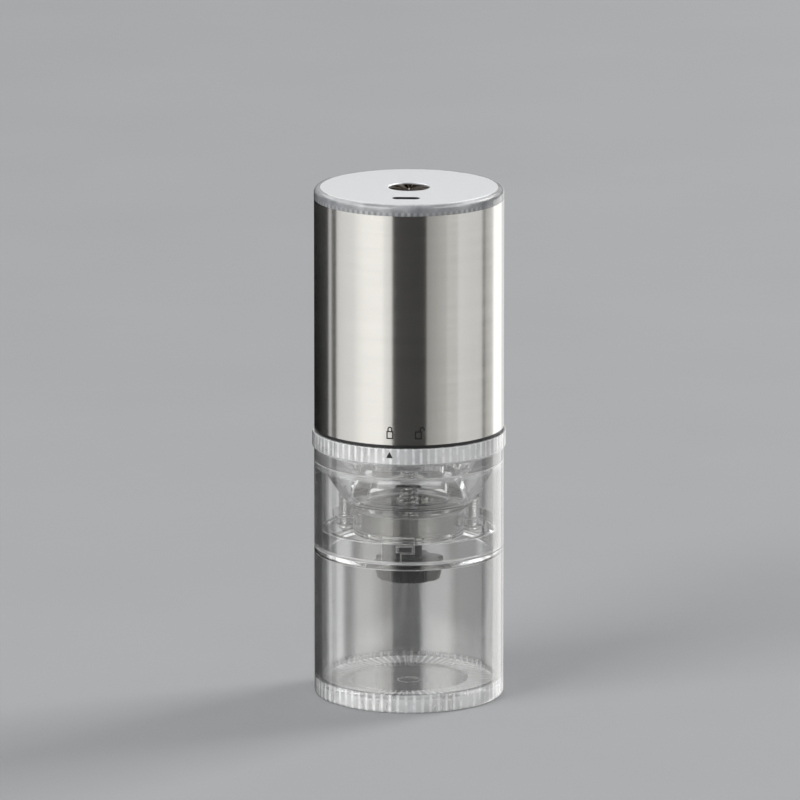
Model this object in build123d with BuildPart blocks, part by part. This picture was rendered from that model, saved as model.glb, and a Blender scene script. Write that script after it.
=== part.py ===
from build123d import *
import math
import os

os.makedirs("parts", exist_ok=True)

# Rechargeable coffee grinder: a clear jar, a clear hopper with the burrs, and a steel drive unit.
# Millimetres. The origin is at the middle of the base, +Z is up and the front looks along -Y.

# Clearances
turn_gap = 0.3
seat_gap = 0.05
shaft_fit = 0.05
press_gap = 0.02

full_turn = 360.0

# Overall form
body_radius = 33.0
clear_wall = 2.5
wall_bore = body_radius - clear_wall

# Jar
jar_height = 53.2
jar_floor = 5.4
neck_height = 6.6
neck_wall = 2.2
neck_radius = wall_bore - turn_gap
neck_bore = neck_radius - neck_wall
foot_round = 1.2
floor_round = 2.0
flute_count = 72
flute_inner = 20.0
flute_rim = 2.7
flute_width = 1.3
flute_rise = 4.0
gate_radius = 4.0
gate_depth = 0.6
lug_count = 3
lug_width = 5.7
lug_height = 2.2
lug_reach = 1.1
lug_root = 1.0
lug_drop = 2.8
jar_twist = 8.0
front_angle = -90.0

# Hopper
joint_gap = 0.2
hopper_z = jar_height + joint_gap
hopper_wall = 35.1
ring_height = 5.8
ring_flare = 0.7
ring_step = 0.9
ring_chamfer = 0.4
rib_count = 80
rib_depth = 0.5
rib_width = 1.3
ring_z = hopper_z + hopper_wall
ring_radius = body_radius + ring_flare
ring_bore = wall_bore + ring_step
hopper_top = ring_z + ring_height
slot_depth = 1.4
slot_rise = 5.6
slot_play = 0.8
entry_edge = 2.2
funnel_top = 1.0
funnel_mid_inset = 2.5
funnel_mid_drop = 7.0
funnel_wall = 4.0
funnel_under_inset = 3.9
funnel_under_drop = 12.9
funnel_foot_wall = 1.2
funnel_foot_rise = 1.0
boss_bury = 1.0

# Burr group, measured up from the hopper's lower edge
burr_setback = 5.6
outer_burr_radius = 16.4
outer_burr_height = 7.5
outer_burr_mouth = 13.9
outer_burr_throat = 12.2
outer_burr_entry = 13.6
throat_rise = 2.0
outer_groove_count = 24
outer_groove_width = 1.5
outer_groove_depth = 1.3
carrier_lip = 1.5
carrier_wall = 2.75
carrier_mouth = 14.4
clamp_gap = 0.1
throat_bore = 17.0
throat_wall = 2.4
throat_height = 3.9
screw_circle = 22.0
boss_radius = 2.6
ear_radius = 3.3
ear_height = 3.0
ear_rise = 1.0
carrier_screw_radius = 1.45
carrier_screw_length = 9.5
carrier_head_radius = 2.6
carrier_head_height = 1.7
screw_slack = 0.2

burr_z = hopper_z + burr_setback
burr_top = burr_z + outer_burr_height
carrier_z = burr_z - carrier_lip
carrier_bore = outer_burr_radius + seat_gap
carrier_radius = carrier_bore + carrier_wall
throat_z = burr_top + clamp_gap
ledge_z = throat_z + throat_height
throat_radius = throat_bore + throat_wall

# Bridge over the burrs
foot_radius = 20.7
foot_height = 1.2
bridge_width = 17.0
bridge_height = 11.3
bridge_flat = 12.0
bridge_round_radius = 18.55
bridge_round_rise = 7.0
window_half = 13.9
window_height = 4.3
window_round = 3.0
hub_radius = 6.7
hub_bore = 4.6
hub_height = 16.5
hub_floor = 0.8
bush_length = 4.4
valley_radius = foot_radius + turn_gap

# Burr shaft, spring and inner burr
shaft_radius = 2.0
shaft_flat = 1.6
shaft_tip = 2.2
collar_height = 0.8
collar_radius = 4.0
inner_burr_radius = 13.4
inner_burr_band = 1.0
inner_burr_drop = 1.4
inner_burr_height = 8.4
inner_burr_nose = 7.0
inner_groove_count = 16
inner_groove_width = 1.0
inner_groove_depth = 1.1
inner_groove_skew = 14.0
spring_wire = 0.9
spring_mean_radius = 2.95
spring_turns = 6.5
spring_seat_height = 4.4
spring_pocket_radius = 4.2
spring_seat_gap = 0.05

# Grind knob
knob_top_radius = 12.3
knob_low_radius = 11.0
knob_height = 7.2
knob_straight = 3.0
knob_hub_radius = 4.6
knob_hub_height = 9.0
knob_face_gap = 0.1
scallop_count = 8
scallop_radius = 4.2
scallop_depth = 1.1
knob_hollow_radius = 6.5
knob_hollow_depth = 2.0

# Dog clutch
clutch_radius = 4.3
clutch_bore = 1.6
clutch_jaws = 3
socket_jaw_width = 50.0
dog_jaw_width = 40.0
socket_floor = 2.5
jaw_height = 3.6
dog_hub_height = 6.3
drive_twist = 17.2

# Drive unit shell
unit_z = hopper_top + joint_gap
lip_height = 1.0
floor_height = 2.5
sleeve_wall = 0.6
sleeve_z = unit_z + lip_height
sleeve_bore = body_radius - sleeve_wall
upstand_wall = 2.3
upstand_height = 4.0
spigot_inset = 1.9
spigot_wall = 2.6
spigot_height = 5.1
unit_lug_width = 8.0
unit_lug_height = 2.0
unit_lug_reach = 1.9
tab_width = 8.0
tab_height = 2.0
tab_gap = 0.4
stop_width = 2.0
tab_angle = 30.0
cup_bore = 5.0
spigot_radius = wall_bore - spigot_inset
tab_bore = spigot_radius + tab_gap

# Gearbox
module_size = 0.5
pressure_angle = math.radians(20.0)
sun_teeth = 12
planet_teeth = 18
ring_teeth = 48
tooth_top = 0.85
tooth_foot = 1.15
tooth_slack = 0.05
planet_count = 3
planet_width = 3.4
pin_radius = 1.2
gearbox_radius = 15.8
cover_height = 4.2
housing_height = 13.2
plate_height = 2.0
disc_radius = 10.9
output_disc = 2.0
stage_disc = 1.8
gear_gap = 0.3
planet_lift = 0.4
output_radius = 2.5
output_length = 13.6
bearing_radius = 5.0
bearing_width = 3.6
race_wall = 0.65
bearing_lip = 0.6
ball_count = 8
ball_slack = 0.05
gearbox_screw_circle = 13.9
gearbox_screw_radius = 1.0
gearbox_head_radius = 1.7
gearbox_head_height = 1.2
gearbox_screw_count = 4
gearbox_screw_angle = 45.0
head_recess = 0.1

# Motor
can_radius = 13.8
can_wall = 1.2
can_height = 31.0
end_cap_height = 2.0
rotor_shaft_radius = 1.15
motor_bush_radius = 3.1
motor_bush_length = 2.2
magnet_wall = 1.85
magnet_length = 20.0
magnet_lift = 4.6
magnet_split = 6.0
core_radius = 9.9
core_rim = 1.6
core_hub = 3.4
core_spoke = 3.0
core_slot = 1.8
core_length = 18.0
core_lift = 5.6
pole_count = 3
coil_reach = 4.0
coil_width = 6.0
coil_overhang = 1.4
coil_centre = 5.6
commutator_radius = 3.4
commutator_length = 3.7
commutator_lift = 25.9
brush_length = 4.0
brush_width = 2.4
brush_height = 4.4
brush_gap = 0.1
terminal_spread = 6.5
terminal_size = 3.0
terminal_sheet = 0.8
terminal_height = 2.6
motor_screw_circle = 8.0
motor_screw_radius = 1.2
motor_head_radius = 2.2
motor_head_height = 1.2
motor_screw_angle = 30.0

# Inner frame and cells
plate_gap = 0.2
frame_plate = 2.0
lower_plate_lift = 4.5
cell_room = 2.2
cell_inset = 0.9
cell_length = 50.0
cell_nub_radius = 2.75
cell_nub = 1.0
collar_wall = 1.0
cell_collar_height = 4.0
cell_collar_gap = 0.15
tab_sheet = 0.4
tab_size = 8.0
link_inset = 1.8
link_width = 2.2
column_inset = 3.0
column_radius = 2.8
column_count = 4
column_angle = 60.0
lead_bore = 12.0
base_screw_radius = 1.2
base_head_radius = 2.3
base_head_height = 1.3
base_screw_length = 6.0
cover_screw_circle = 10.5
cover_screw_count = 3

# Board, switch and charging socket
board_lift = 13.7
board_gap = 1.2
board_room = 6.6
board_thickness = 1.6
board_screw_radius = 1.0
board_screw_length = 6.0
board_head_radius = 1.9
board_head_height = 1.3
switch_size = 6.0
switch_height = 3.3
plunger_radius = 1.75
plunger_length = 2.4
plunger_rise = 1.1
plunger_bore_depth = 2.5
plunger_gap = 0.1
usb_inset = 5.25
usb_width = 8.94
usb_depth = 3.26
usb_corner = 1.25
usb_sheet = 0.3
usb_recess = 0.8
tongue_width = 6.69
tongue_depth = 0.7
tongue_recess = 1.0
usb_block_height = 2.4
cutout_width = 9.6
cutout_depth = 3.9
cutout_corner = 1.7
lead_radius = 0.6
lead_shift = 3.0
lead_bend_radius = 2.5

# Top group
cap_height = 3.8
cap_straight = 2.0
cap_inset = 1.9
cap_lip = 0.2
plate_thickness = 1.2
top_chamfer = 0.25
skirt_height = 4.5
skirt_wall = 2.3
post_inset = 4.15
post_radius = 2.0
top_screw_radius = 0.9
top_screw_length = 8.0
top_head_radius = 1.7
top_head_height = 1.2
button_radius = 6.95
button_bore = 7.15
button_recess = 0.5
button_height = 3.2
button_dish = 0.35
button_flange = 1.25
button_flange_height = 1.0
button_flange_gap = 0.3
stem_radius = 2.4
stem_length = 1.1

# Places inside the drive unit that follow from its wall, its gearbox and its cells
skirt_radius = sleeve_bore - seat_gap
plate_radius = sleeve_bore - plate_gap
plate_rim = body_radius - cap_inset
cap_bore = plate_rim - cap_lip
cap_rim_radius = plate_rim + cap_lip
post_circle = skirt_radius - post_inset
board_radius = post_circle - post_radius - board_gap
usb_setback = board_radius - usb_inset
column_circle = board_radius - column_inset
cell_radius = (plate_radius - gearbox_radius - cell_room) / 2
cell_circle = gearbox_radius + cell_inset + cell_radius
link_inner = cell_circle + link_inset

floor_top = unit_z + floor_height
lower_plate_z = floor_top + lower_plate_lift
lower_plate_top = lower_plate_z + frame_plate
cell_z = lower_plate_top + tab_sheet
cell_top = cell_z + cell_length
upper_plate_z = cell_top + tab_sheet
upper_plate_top = upper_plate_z + frame_plate
board_z = upper_plate_z + board_lift
board_top = board_z + board_thickness
sleeve_top = board_top + board_room
unit_top = sleeve_top + cap_height


def gear_points(teeth, tip, root, slack):
    """Corner points of a toothed outline: two flanks of three points for each tooth."""
    pitch = module_size * teeth / 2
    base = pitch * math.cos(pressure_angle)
    points = []
    for tooth in range(teeth):
        middle = 2 * math.pi * tooth / teeth
        halves = []
        for radius in (root, pitch, tip):
            contact = math.acos(min(1.0, base / radius))
            roll = math.tan(contact) - contact
            roll_pitch = math.tan(pressure_angle) - pressure_angle
            half = math.pi / (2 * teeth) + roll_pitch - roll - slack / pitch
            halves.append((radius, half))
        for radius, half in halves:
            points.append((radius * math.cos(middle - half), radius * math.sin(middle - half)))
        for radius, half in reversed(halves):
            points.append((radius * math.cos(middle + half), radius * math.sin(middle + half)))
    return points


def wedge_points(radius, start, end):
    """A pie slice from the axis out past the radius, between two angles in degrees."""
    reach = radius / math.cos(math.radians(end - start) / 2)
    first = math.radians(start)
    last = math.radians(end)
    middle = (first + last) / 2
    return [
        (0, 0),
        (reach * math.cos(first), reach * math.sin(first)),
        (2 * reach * math.cos(middle), 2 * reach * math.sin(middle)),
        (reach * math.cos(last), reach * math.sin(last)),
    ]


# JAR
# One clear moulding: wall, thick floor, inner shoulder and neck.
jar_bore = body_radius - clear_wall
jar_rim = jar_height + neck_height
inner_shoulder = jar_height - (jar_bore - neck_bore)
flute_outer = body_radius - flute_rim

with BuildPart() as flute_tool:
    with BuildSketch(Plane.XZ) as flute_side:
        with BuildLine():
            Polyline((flute_inner, 0), (flute_outer, 0), (flute_outer, flute_rise), close=True)
        make_face()
    extrude(amount=flute_width / 2, both=True)

with BuildPart() as jar_lug:
    with BuildSketch(Plane.XY.offset(jar_rim - lug_drop)) as lug_plan:
        with Locations(((neck_radius - lug_root + neck_radius + lug_reach) / 2, 0)):
            Rectangle(lug_root + lug_reach, lug_width)
    extrude(amount=lug_height)

with BuildPart() as jar:
    with BuildSketch(Plane.XZ) as jar_profile:
        with BuildLine():
            Polyline(
                (0, 0),
                (body_radius, 0),
                (body_radius, jar_height),
                (neck_radius, jar_height),
                (neck_radius, jar_rim),
                (neck_bore, jar_rim),
                (neck_bore, jar_height),
                (jar_bore, inner_shoulder),
                (jar_bore, jar_floor),
                (0, jar_floor),
                close=True,
            )
        make_face()
        foot_corner = jar_profile.vertices().sort_by(Axis.X)[-2:].sort_by(Axis.Y)[0]
        fillet(foot_corner, foot_round)
    revolve(axis=Axis.Z)
    inner_floor_edge = jar.edges().filter_by(GeomType.CIRCLE).filter_by(
        lambda edge: abs(edge.radius - jar_bore) < seat_gap and abs(edge.center().Z - jar_floor) < seat_gap
    )
    fillet(inner_floor_edge, floor_round)
    with PolarLocations(0, flute_count):
        add(flute_tool.part, mode=Mode.SUBTRACT)
    with BuildSketch() as gate_plan:
        Circle(gate_radius)
    extrude(amount=gate_depth, mode=Mode.SUBTRACT)
    with PolarLocations(0, lug_count, front_angle):
        add(jar_lug.part)

jar.part.label = "jar"
export_step(jar.part, "parts/jar.step")

# HOPPER
# The clear wall, the bean funnel, the ribbed ring and the two screw bosses are one moulding.
lug_half = math.degrees(math.asin(lug_width / 2 / neck_radius))
slot_end = lug_half + slot_play
slot_start = -(jar_twist + slot_end)
slot_radius = wall_bore + slot_depth
slot_floor = jar_rim - lug_drop - turn_gap
funnel_low = (valley_radius, ledge_z)
funnel_mid = (wall_bore - funnel_mid_inset, ring_z - funnel_mid_drop)
funnel_high = (wall_bore, ring_z - funnel_top)
under_low = (throat_radius + funnel_foot_wall, throat_z + funnel_foot_rise)
under_mid = (wall_bore - funnel_under_inset, ring_z - funnel_under_drop)
under_high = (wall_bore, ring_z - funnel_top - funnel_wall)
ear_z = burr_z + ear_rise
boss_z = ear_z + ear_height
boss_slope = (under_mid[1] - under_low[1]) / (under_mid[0] - under_low[0])
boss_low_top = under_low[1] + boss_bury
boss_top = boss_low_top + boss_slope * (screw_circle + boss_radius - under_low[0])

with BuildPart() as slot_tool:
    with BuildSketch(Plane.XY.offset(slot_floor)) as slot_leg:
        Circle(slot_radius)
        Circle(neck_radius - seat_gap, mode=Mode.SUBTRACT)
        Polygon(*wedge_points(body_radius, slot_start, slot_end), align=None, mode=Mode.INTERSECT)
    extrude(amount=slot_rise)
    with BuildSketch(Plane.XY.offset(hopper_z)) as slot_entry:
        Circle(slot_radius)
        Circle(neck_radius - seat_gap, mode=Mode.SUBTRACT)
        Polygon(*wedge_points(body_radius, slot_start, -entry_edge), align=None, mode=Mode.INTERSECT)
    extrude(amount=slot_floor - hopper_z)

lug_top = unit_z - spigot_height + unit_lug_height
tab_z = lug_top + turn_gap
stop_offset = unit_lug_width / 2 + turn_gap + stop_width / 2

with BuildPart() as hopper_tab:
    tab_middle = (tab_bore + (ring_bore + ring_radius) / 2) / 2
    tab_length = (ring_bore + ring_radius) / 2 - tab_bore
    with BuildSketch(Plane.XY.offset(tab_z)) as tab_plan:
        with Locations((tab_middle, 0)):
            Rectangle(tab_length, tab_width)
    extrude(amount=tab_height)
    with BuildSketch(Plane.XY.offset(lug_top - unit_lug_height)) as stop_plan:
        with Locations((tab_middle, stop_offset)):
            Rectangle(tab_length, stop_width)
    extrude(amount=unit_lug_height + turn_gap + tab_height)

# A boss hangs from the funnel's under side, so its top slopes inside the funnel's wall.
with BuildPart() as screw_boss:
    with BuildSketch(Plane.XY.offset(boss_z)) as boss_plan:
        with Locations((screw_circle, 0)):
            Circle(boss_radius)
    extrude(amount=boss_top - boss_z)
    with BuildSketch(Plane.XZ) as boss_side:
        with BuildLine():
            Polyline(
                (screw_circle - boss_radius, boss_z),
                (screw_circle + boss_radius, boss_z),
                (screw_circle + boss_radius, boss_top),
                (under_low[0], boss_low_top),
                (screw_circle - boss_radius, boss_low_top),
                close=True,
            )
        make_face()
    extrude(amount=boss_radius, both=True, mode=Mode.INTERSECT)

with BuildPart() as hopper_shell:
    with BuildSketch(Plane.XZ) as hopper_profile:
        with BuildLine():
            Polyline(
                under_high,
                (wall_bore, hopper_z),
                (body_radius, hopper_z),
                (body_radius, ring_z),
                (ring_radius, ring_z + ring_chamfer),
                (ring_radius, hopper_top),
                (ring_bore, hopper_top),
                (ring_bore, ring_z),
                (wall_bore, ring_z),
                funnel_high,
            )
            ThreePointArc(funnel_high, funnel_mid, funnel_low)
            Polyline(
                funnel_low,
                (throat_bore, ledge_z),
                (throat_bore, throat_z),
                (throat_radius, throat_z),
                (throat_radius, under_low[1]),
                under_low,
            )
            ThreePointArc(under_low, under_mid, under_high)
        make_face()
    revolve(axis=Axis.Z)
    with PolarLocations(0, 2):
        add(screw_boss.part)
    with BuildSketch(Plane.XY.offset(boss_z)) as boss_holes:
        with PolarLocations(screw_circle, 2):
            Circle(carrier_screw_radius + seat_gap)
    extrude(amount=carrier_screw_length - ear_height + screw_slack, mode=Mode.SUBTRACT)
    with PolarLocations(0, lug_count, front_angle):
        add(slot_tool.part, mode=Mode.SUBTRACT)
    with BuildSketch(Plane.XY.offset(ring_z)) as rib_plan:
        with PolarLocations(ring_bore, rib_count):
            Polygon((-rib_depth, -rib_width / 2), (-rib_depth, rib_width / 2), (rib_depth, 0), align=None)
    extrude(amount=ring_height, mode=Mode.SUBTRACT)
    with PolarLocations(0, lug_count, tab_angle):
        add(hopper_tab.part)

hopper_shell.part.label = "hopper_shell"
export_step(hopper_shell.part, "parts/hopper_shell.step")

# The carrier is a clear cup under the burr with two ears for its screws.
with BuildPart() as burr_carrier:
    with BuildSketch(Plane.XY.offset(carrier_z)) as carrier_plan:
        Circle(carrier_radius)
        Circle(carrier_mouth, mode=Mode.SUBTRACT)
    extrude(amount=burr_top - carrier_z)
    with BuildSketch(Plane.XY.offset(ear_z)) as ear_plan:
        with PolarLocations(screw_circle, 2):
            Circle(ear_radius)
        with PolarLocations((screw_circle + carrier_bore) / 2, 2):
            Rectangle(screw_circle - carrier_bore, 2 * ear_radius)
    extrude(amount=ear_height)
    with BuildSketch(Plane.XY.offset(burr_z)) as carrier_seat:
        Circle(carrier_bore)
    extrude(amount=outer_burr_height, mode=Mode.SUBTRACT)
    with BuildSketch(Plane.XY.offset(ear_z)) as ear_holes:
        with PolarLocations(screw_circle, 2):
            Circle(carrier_screw_radius + screw_slack)
    extrude(amount=ear_height, mode=Mode.SUBTRACT)

burr_carrier.part.label = "burr_carrier"
export_step(burr_carrier.part, "parts/burr_carrier.step")

with BuildPart() as carrier_screws:
    with BuildSketch(Plane.XY.offset(ear_z - carrier_head_height)) as carrier_heads:
        with PolarLocations(screw_circle, 2):
            Circle(carrier_head_radius)
    extrude(amount=carrier_head_height)
    with BuildSketch(Plane.XY.offset(ear_z)) as carrier_shanks:
        with PolarLocations(screw_circle, 2):
            Circle(carrier_screw_radius)
    extrude(amount=carrier_screw_length)
    with BuildSketch(Plane.XY.offset(ear_z - carrier_head_height)) as carrier_drives:
        with PolarLocations(screw_circle, 2):
            Rectangle(carrier_screw_radius * 2, carrier_screw_radius / 2)
            Rectangle(carrier_screw_radius / 2, carrier_screw_radius * 2)
    extrude(amount=carrier_head_height / 2, mode=Mode.SUBTRACT)

carrier_screws.part.label = "carrier_screws"
export_step(carrier_screws.part, "parts/carrier_screws.step")

# Fixed ring burr: a narrow grinding band low down that opens to a wide mouth for the beans.
with BuildPart() as outer_burr:
    with BuildSketch(Plane.XZ) as outer_profile:
        with BuildLine():
            Polyline(
                (outer_burr_mouth, burr_z),
                (outer_burr_radius, burr_z),
                (outer_burr_radius, burr_top),
                (outer_burr_entry, burr_top),
                (outer_burr_throat, burr_z + throat_rise),
                close=True,
            )
        make_face()
    revolve(axis=Axis.Z)
    with BuildSketch(Plane.XY.offset(burr_z)) as outer_grooves:
        with PolarLocations(outer_burr_entry, outer_groove_count):
            Polygon(
                (outer_burr_throat - outer_burr_entry, -outer_groove_width / 2),
                (outer_groove_depth, 0),
                (outer_burr_throat - outer_burr_entry, outer_groove_width / 2),
                align=None,
            )
    extrude(amount=outer_burr_height, mode=Mode.SUBTRACT)

outer_burr.part.label = "outer_burr"
export_step(outer_burr.part, "parts/outer_burr.step")

# The bridge arches over the burrs, with a window each side, and its tube guards the clutch.
window_top = ledge_z + window_height
hub_top = ledge_z + hub_height
bush_z = window_top + hub_floor

with BuildPart() as shaft_bridge:
    with BuildSketch(Plane.XZ) as bridge_profile:
        with BuildLine():
            Polyline((0, ledge_z), (foot_radius, ledge_z), (foot_radius, ledge_z + foot_height))
            ThreePointArc(
                (foot_radius, ledge_z + foot_height),
                (bridge_round_radius, ledge_z + bridge_round_rise),
                (bridge_flat, ledge_z + bridge_height),
            )
            Polyline((bridge_flat, ledge_z + bridge_height), (0, ledge_z + bridge_height), (0, ledge_z))
        make_face()
    revolve(axis=Axis.Z)
    with BuildSketch(Plane.XY.offset(ledge_z)) as arch_plan:
        Rectangle(2 * foot_radius, bridge_width)
    extrude(amount=bridge_height, mode=Mode.INTERSECT)
    with BuildSketch(Plane.XZ) as window_side:
        with BuildLine():
            Polyline(
                (-window_half, ledge_z),
                (-window_half, window_top),
                (window_half, window_top),
                (window_half, ledge_z),
                close=True,
            )
        make_face()
        fillet(window_side.vertices().group_by(Axis.Y)[-1], window_round)
    extrude(amount=bridge_width, both=True, mode=Mode.SUBTRACT)
    with BuildSketch(Plane.XY.offset(ledge_z)) as foot_plan:
        Circle(foot_radius)
        Circle(throat_bore, mode=Mode.SUBTRACT)
    extrude(amount=foot_height)
    with BuildSketch(Plane.XY.offset(window_top)) as hub_plan:
        Circle(hub_radius)
    extrude(amount=hub_top - window_top)
    with BuildSketch(Plane.XY.offset(bush_z)) as hub_hole:
        Circle(hub_bore)
    extrude(amount=hub_top - bush_z, mode=Mode.SUBTRACT)
    with BuildSketch(Plane.XY.offset(window_top)) as hub_shaft_hole:
        Circle(shaft_radius + turn_gap)
    extrude(amount=hub_floor, mode=Mode.SUBTRACT)

shaft_bridge.part.label = "shaft_bridge"
export_step(shaft_bridge.part, "parts/shaft_bridge.step")

with BuildPart() as shaft_bush:
    with BuildSketch(Plane.XY.offset(bush_z)) as bush_plan:
        Circle(hub_bore - seat_gap)
        Circle(shaft_radius + shaft_fit, mode=Mode.SUBTRACT)
    extrude(amount=bush_length)

shaft_bush.part.label = "shaft_bush"
export_step(shaft_bush.part, "parts/shaft_bush.step")

# BURR SHAFT GROUP
# The shaft has two flats where it drives the inner burr, and the knob runs on its lower end.
socket_z = bush_z + bush_length + turn_gap
clutch_z = socket_z + socket_floor
inner_burr_z = burr_z - inner_burr_drop
inner_burr_top = inner_burr_z + inner_burr_height
spring_seat = inner_burr_z + spring_seat_height
knob_hub_z = inner_burr_z - knob_face_gap - knob_hub_height
knob_z = knob_hub_z - knob_height
shaft_z = knob_z - shaft_tip
collar_top = window_top - turn_gap
collar_z = collar_top - collar_height

with BuildPart() as burr_shaft:
    with BuildSketch(Plane.XY.offset(shaft_z)) as shaft_plan:
        Circle(shaft_radius)
    extrude(amount=clutch_z - shaft_z)
    with BuildSketch(Plane.XY.offset(knob_hub_z)) as flat_plan:
        with GridLocations(0, 2 * (shaft_flat + shaft_radius), 1, 2):
            Rectangle(2 * shaft_radius, 2 * shaft_radius)
    extrude(amount=inner_burr_top - knob_hub_z, mode=Mode.SUBTRACT)
    chamfer(burr_shaft.edges().sort_by(Axis.Z)[0], shaft_radius / 4)

burr_shaft.part.label = "burr_shaft"
export_step(burr_shaft.part, "parts/burr_shaft.step")

with BuildPart() as spring_collar:
    with BuildSketch(Plane.XY.offset(collar_z)) as collar_plan:
        Circle(collar_radius)
        Circle(shaft_radius + press_gap, mode=Mode.SUBTRACT)
    extrude(amount=collar_height)

spring_collar.part.label = "spring_collar"
export_step(spring_collar.part, "parts/spring_collar.step")

with BuildPart() as drive_socket:
    with BuildSketch(Plane.XY.offset(socket_z)) as socket_plan:
        Circle(clutch_radius)
    extrude(amount=socket_floor + jaw_height)
    for jaw in range(clutch_jaws):
        gap_start = full_turn * jaw / clutch_jaws + socket_jaw_width / 2
        gap_end = full_turn * (jaw + 1) / clutch_jaws - socket_jaw_width / 2
        with BuildSketch(Plane.XY.offset(clutch_z)) as socket_gap:
            Polygon(*wedge_points(clutch_radius, gap_start, gap_end), align=None)
        extrude(amount=jaw_height, mode=Mode.SUBTRACT)
    with BuildSketch(Plane.XY.offset(socket_z)) as socket_bore:
        Circle(shaft_radius + press_gap)
    extrude(amount=socket_floor + jaw_height, mode=Mode.SUBTRACT)

drive_socket.part.label = "drive_socket"
export_step(drive_socket.part, "parts/drive_socket.step")

# Coil spring: quarter turns of two arcs each, swept as one tube.
spring_low = spring_seat + spring_wire / 2 + spring_seat_gap
spring_high = collar_z - spring_wire / 2 - spring_seat_gap
spring_climb = (spring_high - spring_low) / (2 * math.pi * spring_turns)
quarter_count = round(4 * spring_turns)


def spring_point(turn_angle):
    """Point and direction on the spring's centre line."""
    point = Vector(
        spring_mean_radius * math.cos(turn_angle),
        spring_mean_radius * math.sin(turn_angle),
        spring_low + spring_climb * turn_angle,
    )
    heading = Vector(
        -spring_mean_radius * math.sin(turn_angle),
        spring_mean_radius * math.cos(turn_angle),
        spring_climb,
    ).normalized()
    return point, heading


with BuildPart() as adjust_spring:
    with BuildLine() as spring_line:
        for quarter in range(quarter_count):
            start_point, start_heading = spring_point(2 * math.pi * spring_turns * quarter / quarter_count)
            end_point, end_heading = spring_point(2 * math.pi * spring_turns * (quarter + 1) / quarter_count)
            span = end_point - start_point
            heading_sum = start_heading + end_heading
            square = heading_sum.dot(heading_sum) - 4
            middle_term = -2 * span.dot(heading_sum)
            reach = (-middle_term - math.sqrt(middle_term**2 - 4 * square * span.dot(span))) / (2 * square)
            first_corner = start_point + start_heading * reach
            last_corner = end_point - end_heading * reach
            joint_point = (first_corner + last_corner) / 2
            TangentArc(start_point, joint_point, tangent=start_heading)
            TangentArc(joint_point, end_point, tangent=last_corner - first_corner)
    spring_start, spring_heading = spring_point(0)
    with BuildSketch(Plane(origin=spring_start, z_dir=spring_heading)) as spring_section:
        Circle(spring_wire / 2)
    sweep(path=spring_line.wires()[0])

spring_pitch = 2 * math.pi * spring_climb
spring_samples = [spring_point(math.pi * step / 18)[0] for step in range(round(36 * spring_turns) + 1)]
spring_self_gap = min(
    (spring_samples[first] - spring_samples[second]).length
    for first in range(len(spring_samples))
    for second in range(first + 18, len(spring_samples))
) - spring_wire
print("spring: pitch", round(spring_pitch, 3), "least gap to itself", round(spring_self_gap, 3))

adjust_spring.part.label = "adjust_spring"
export_step(adjust_spring.part, "parts/adjust_spring.step")

# Turning cone burr, with slanted grooves, a spring pocket and a bore with two flats.
band_top = inner_burr_z + inner_burr_band
cone_slope = math.atan2(inner_burr_radius - inner_burr_nose, inner_burr_top - band_top)
cone_length = math.hypot(inner_burr_radius - inner_burr_nose, inner_burr_top - band_top)
groove_heading = Vector(
    -math.sin(cone_slope) * math.cos(math.radians(inner_groove_skew)),
    math.sin(math.radians(inner_groove_skew)),
    math.cos(cone_slope) * math.cos(math.radians(inner_groove_skew)),
)
groove_side = (Vector(0, 1, 0) - groove_heading * groove_heading.Y).normalized()
groove_lead = 2 * inner_burr_band
groove_origin = Vector(inner_burr_radius, 0, band_top) - groove_heading * groove_lead

with BuildPart() as inner_groove:
    with BuildSketch(Plane(origin=groove_origin, x_dir=groove_side, z_dir=groove_heading)) as groove_section:
        Polygon(
            (-inner_groove_width, -inner_groove_depth),
            (inner_groove_width, -inner_groove_depth),
            (0, inner_groove_depth),
            align=None,
        )
    extrude(amount=cone_length + 2 * groove_lead)

with BuildPart() as inner_burr:
    with BuildSketch(Plane.XZ) as cone_profile:
        with BuildLine():
            Polyline(
                (0, inner_burr_z),
                (inner_burr_radius, inner_burr_z),
                (inner_burr_radius, band_top),
                (inner_burr_nose, inner_burr_top),
                (0, inner_burr_top),
                close=True,
            )
        make_face()
    revolve(axis=Axis.Z)
    with PolarLocations(0, inner_groove_count):
        add(inner_groove.part, mode=Mode.SUBTRACT)
    with BuildSketch(Plane.XY.offset(spring_seat)) as pocket_plan:
        Circle(spring_pocket_radius)
    extrude(amount=inner_burr_top - spring_seat, mode=Mode.SUBTRACT)
    with BuildSketch(Plane.XY.offset(inner_burr_z)) as drive_hole:
        Circle(shaft_radius + shaft_fit)
        Rectangle(4 * shaft_radius, 2 * (shaft_flat + shaft_fit), mode=Mode.INTERSECT)
    extrude(amount=spring_seat - inner_burr_z, mode=Mode.SUBTRACT)

inner_burr.part.label = "inner_burr"
export_step(inner_burr.part, "parts/inner_burr.step")

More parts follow.
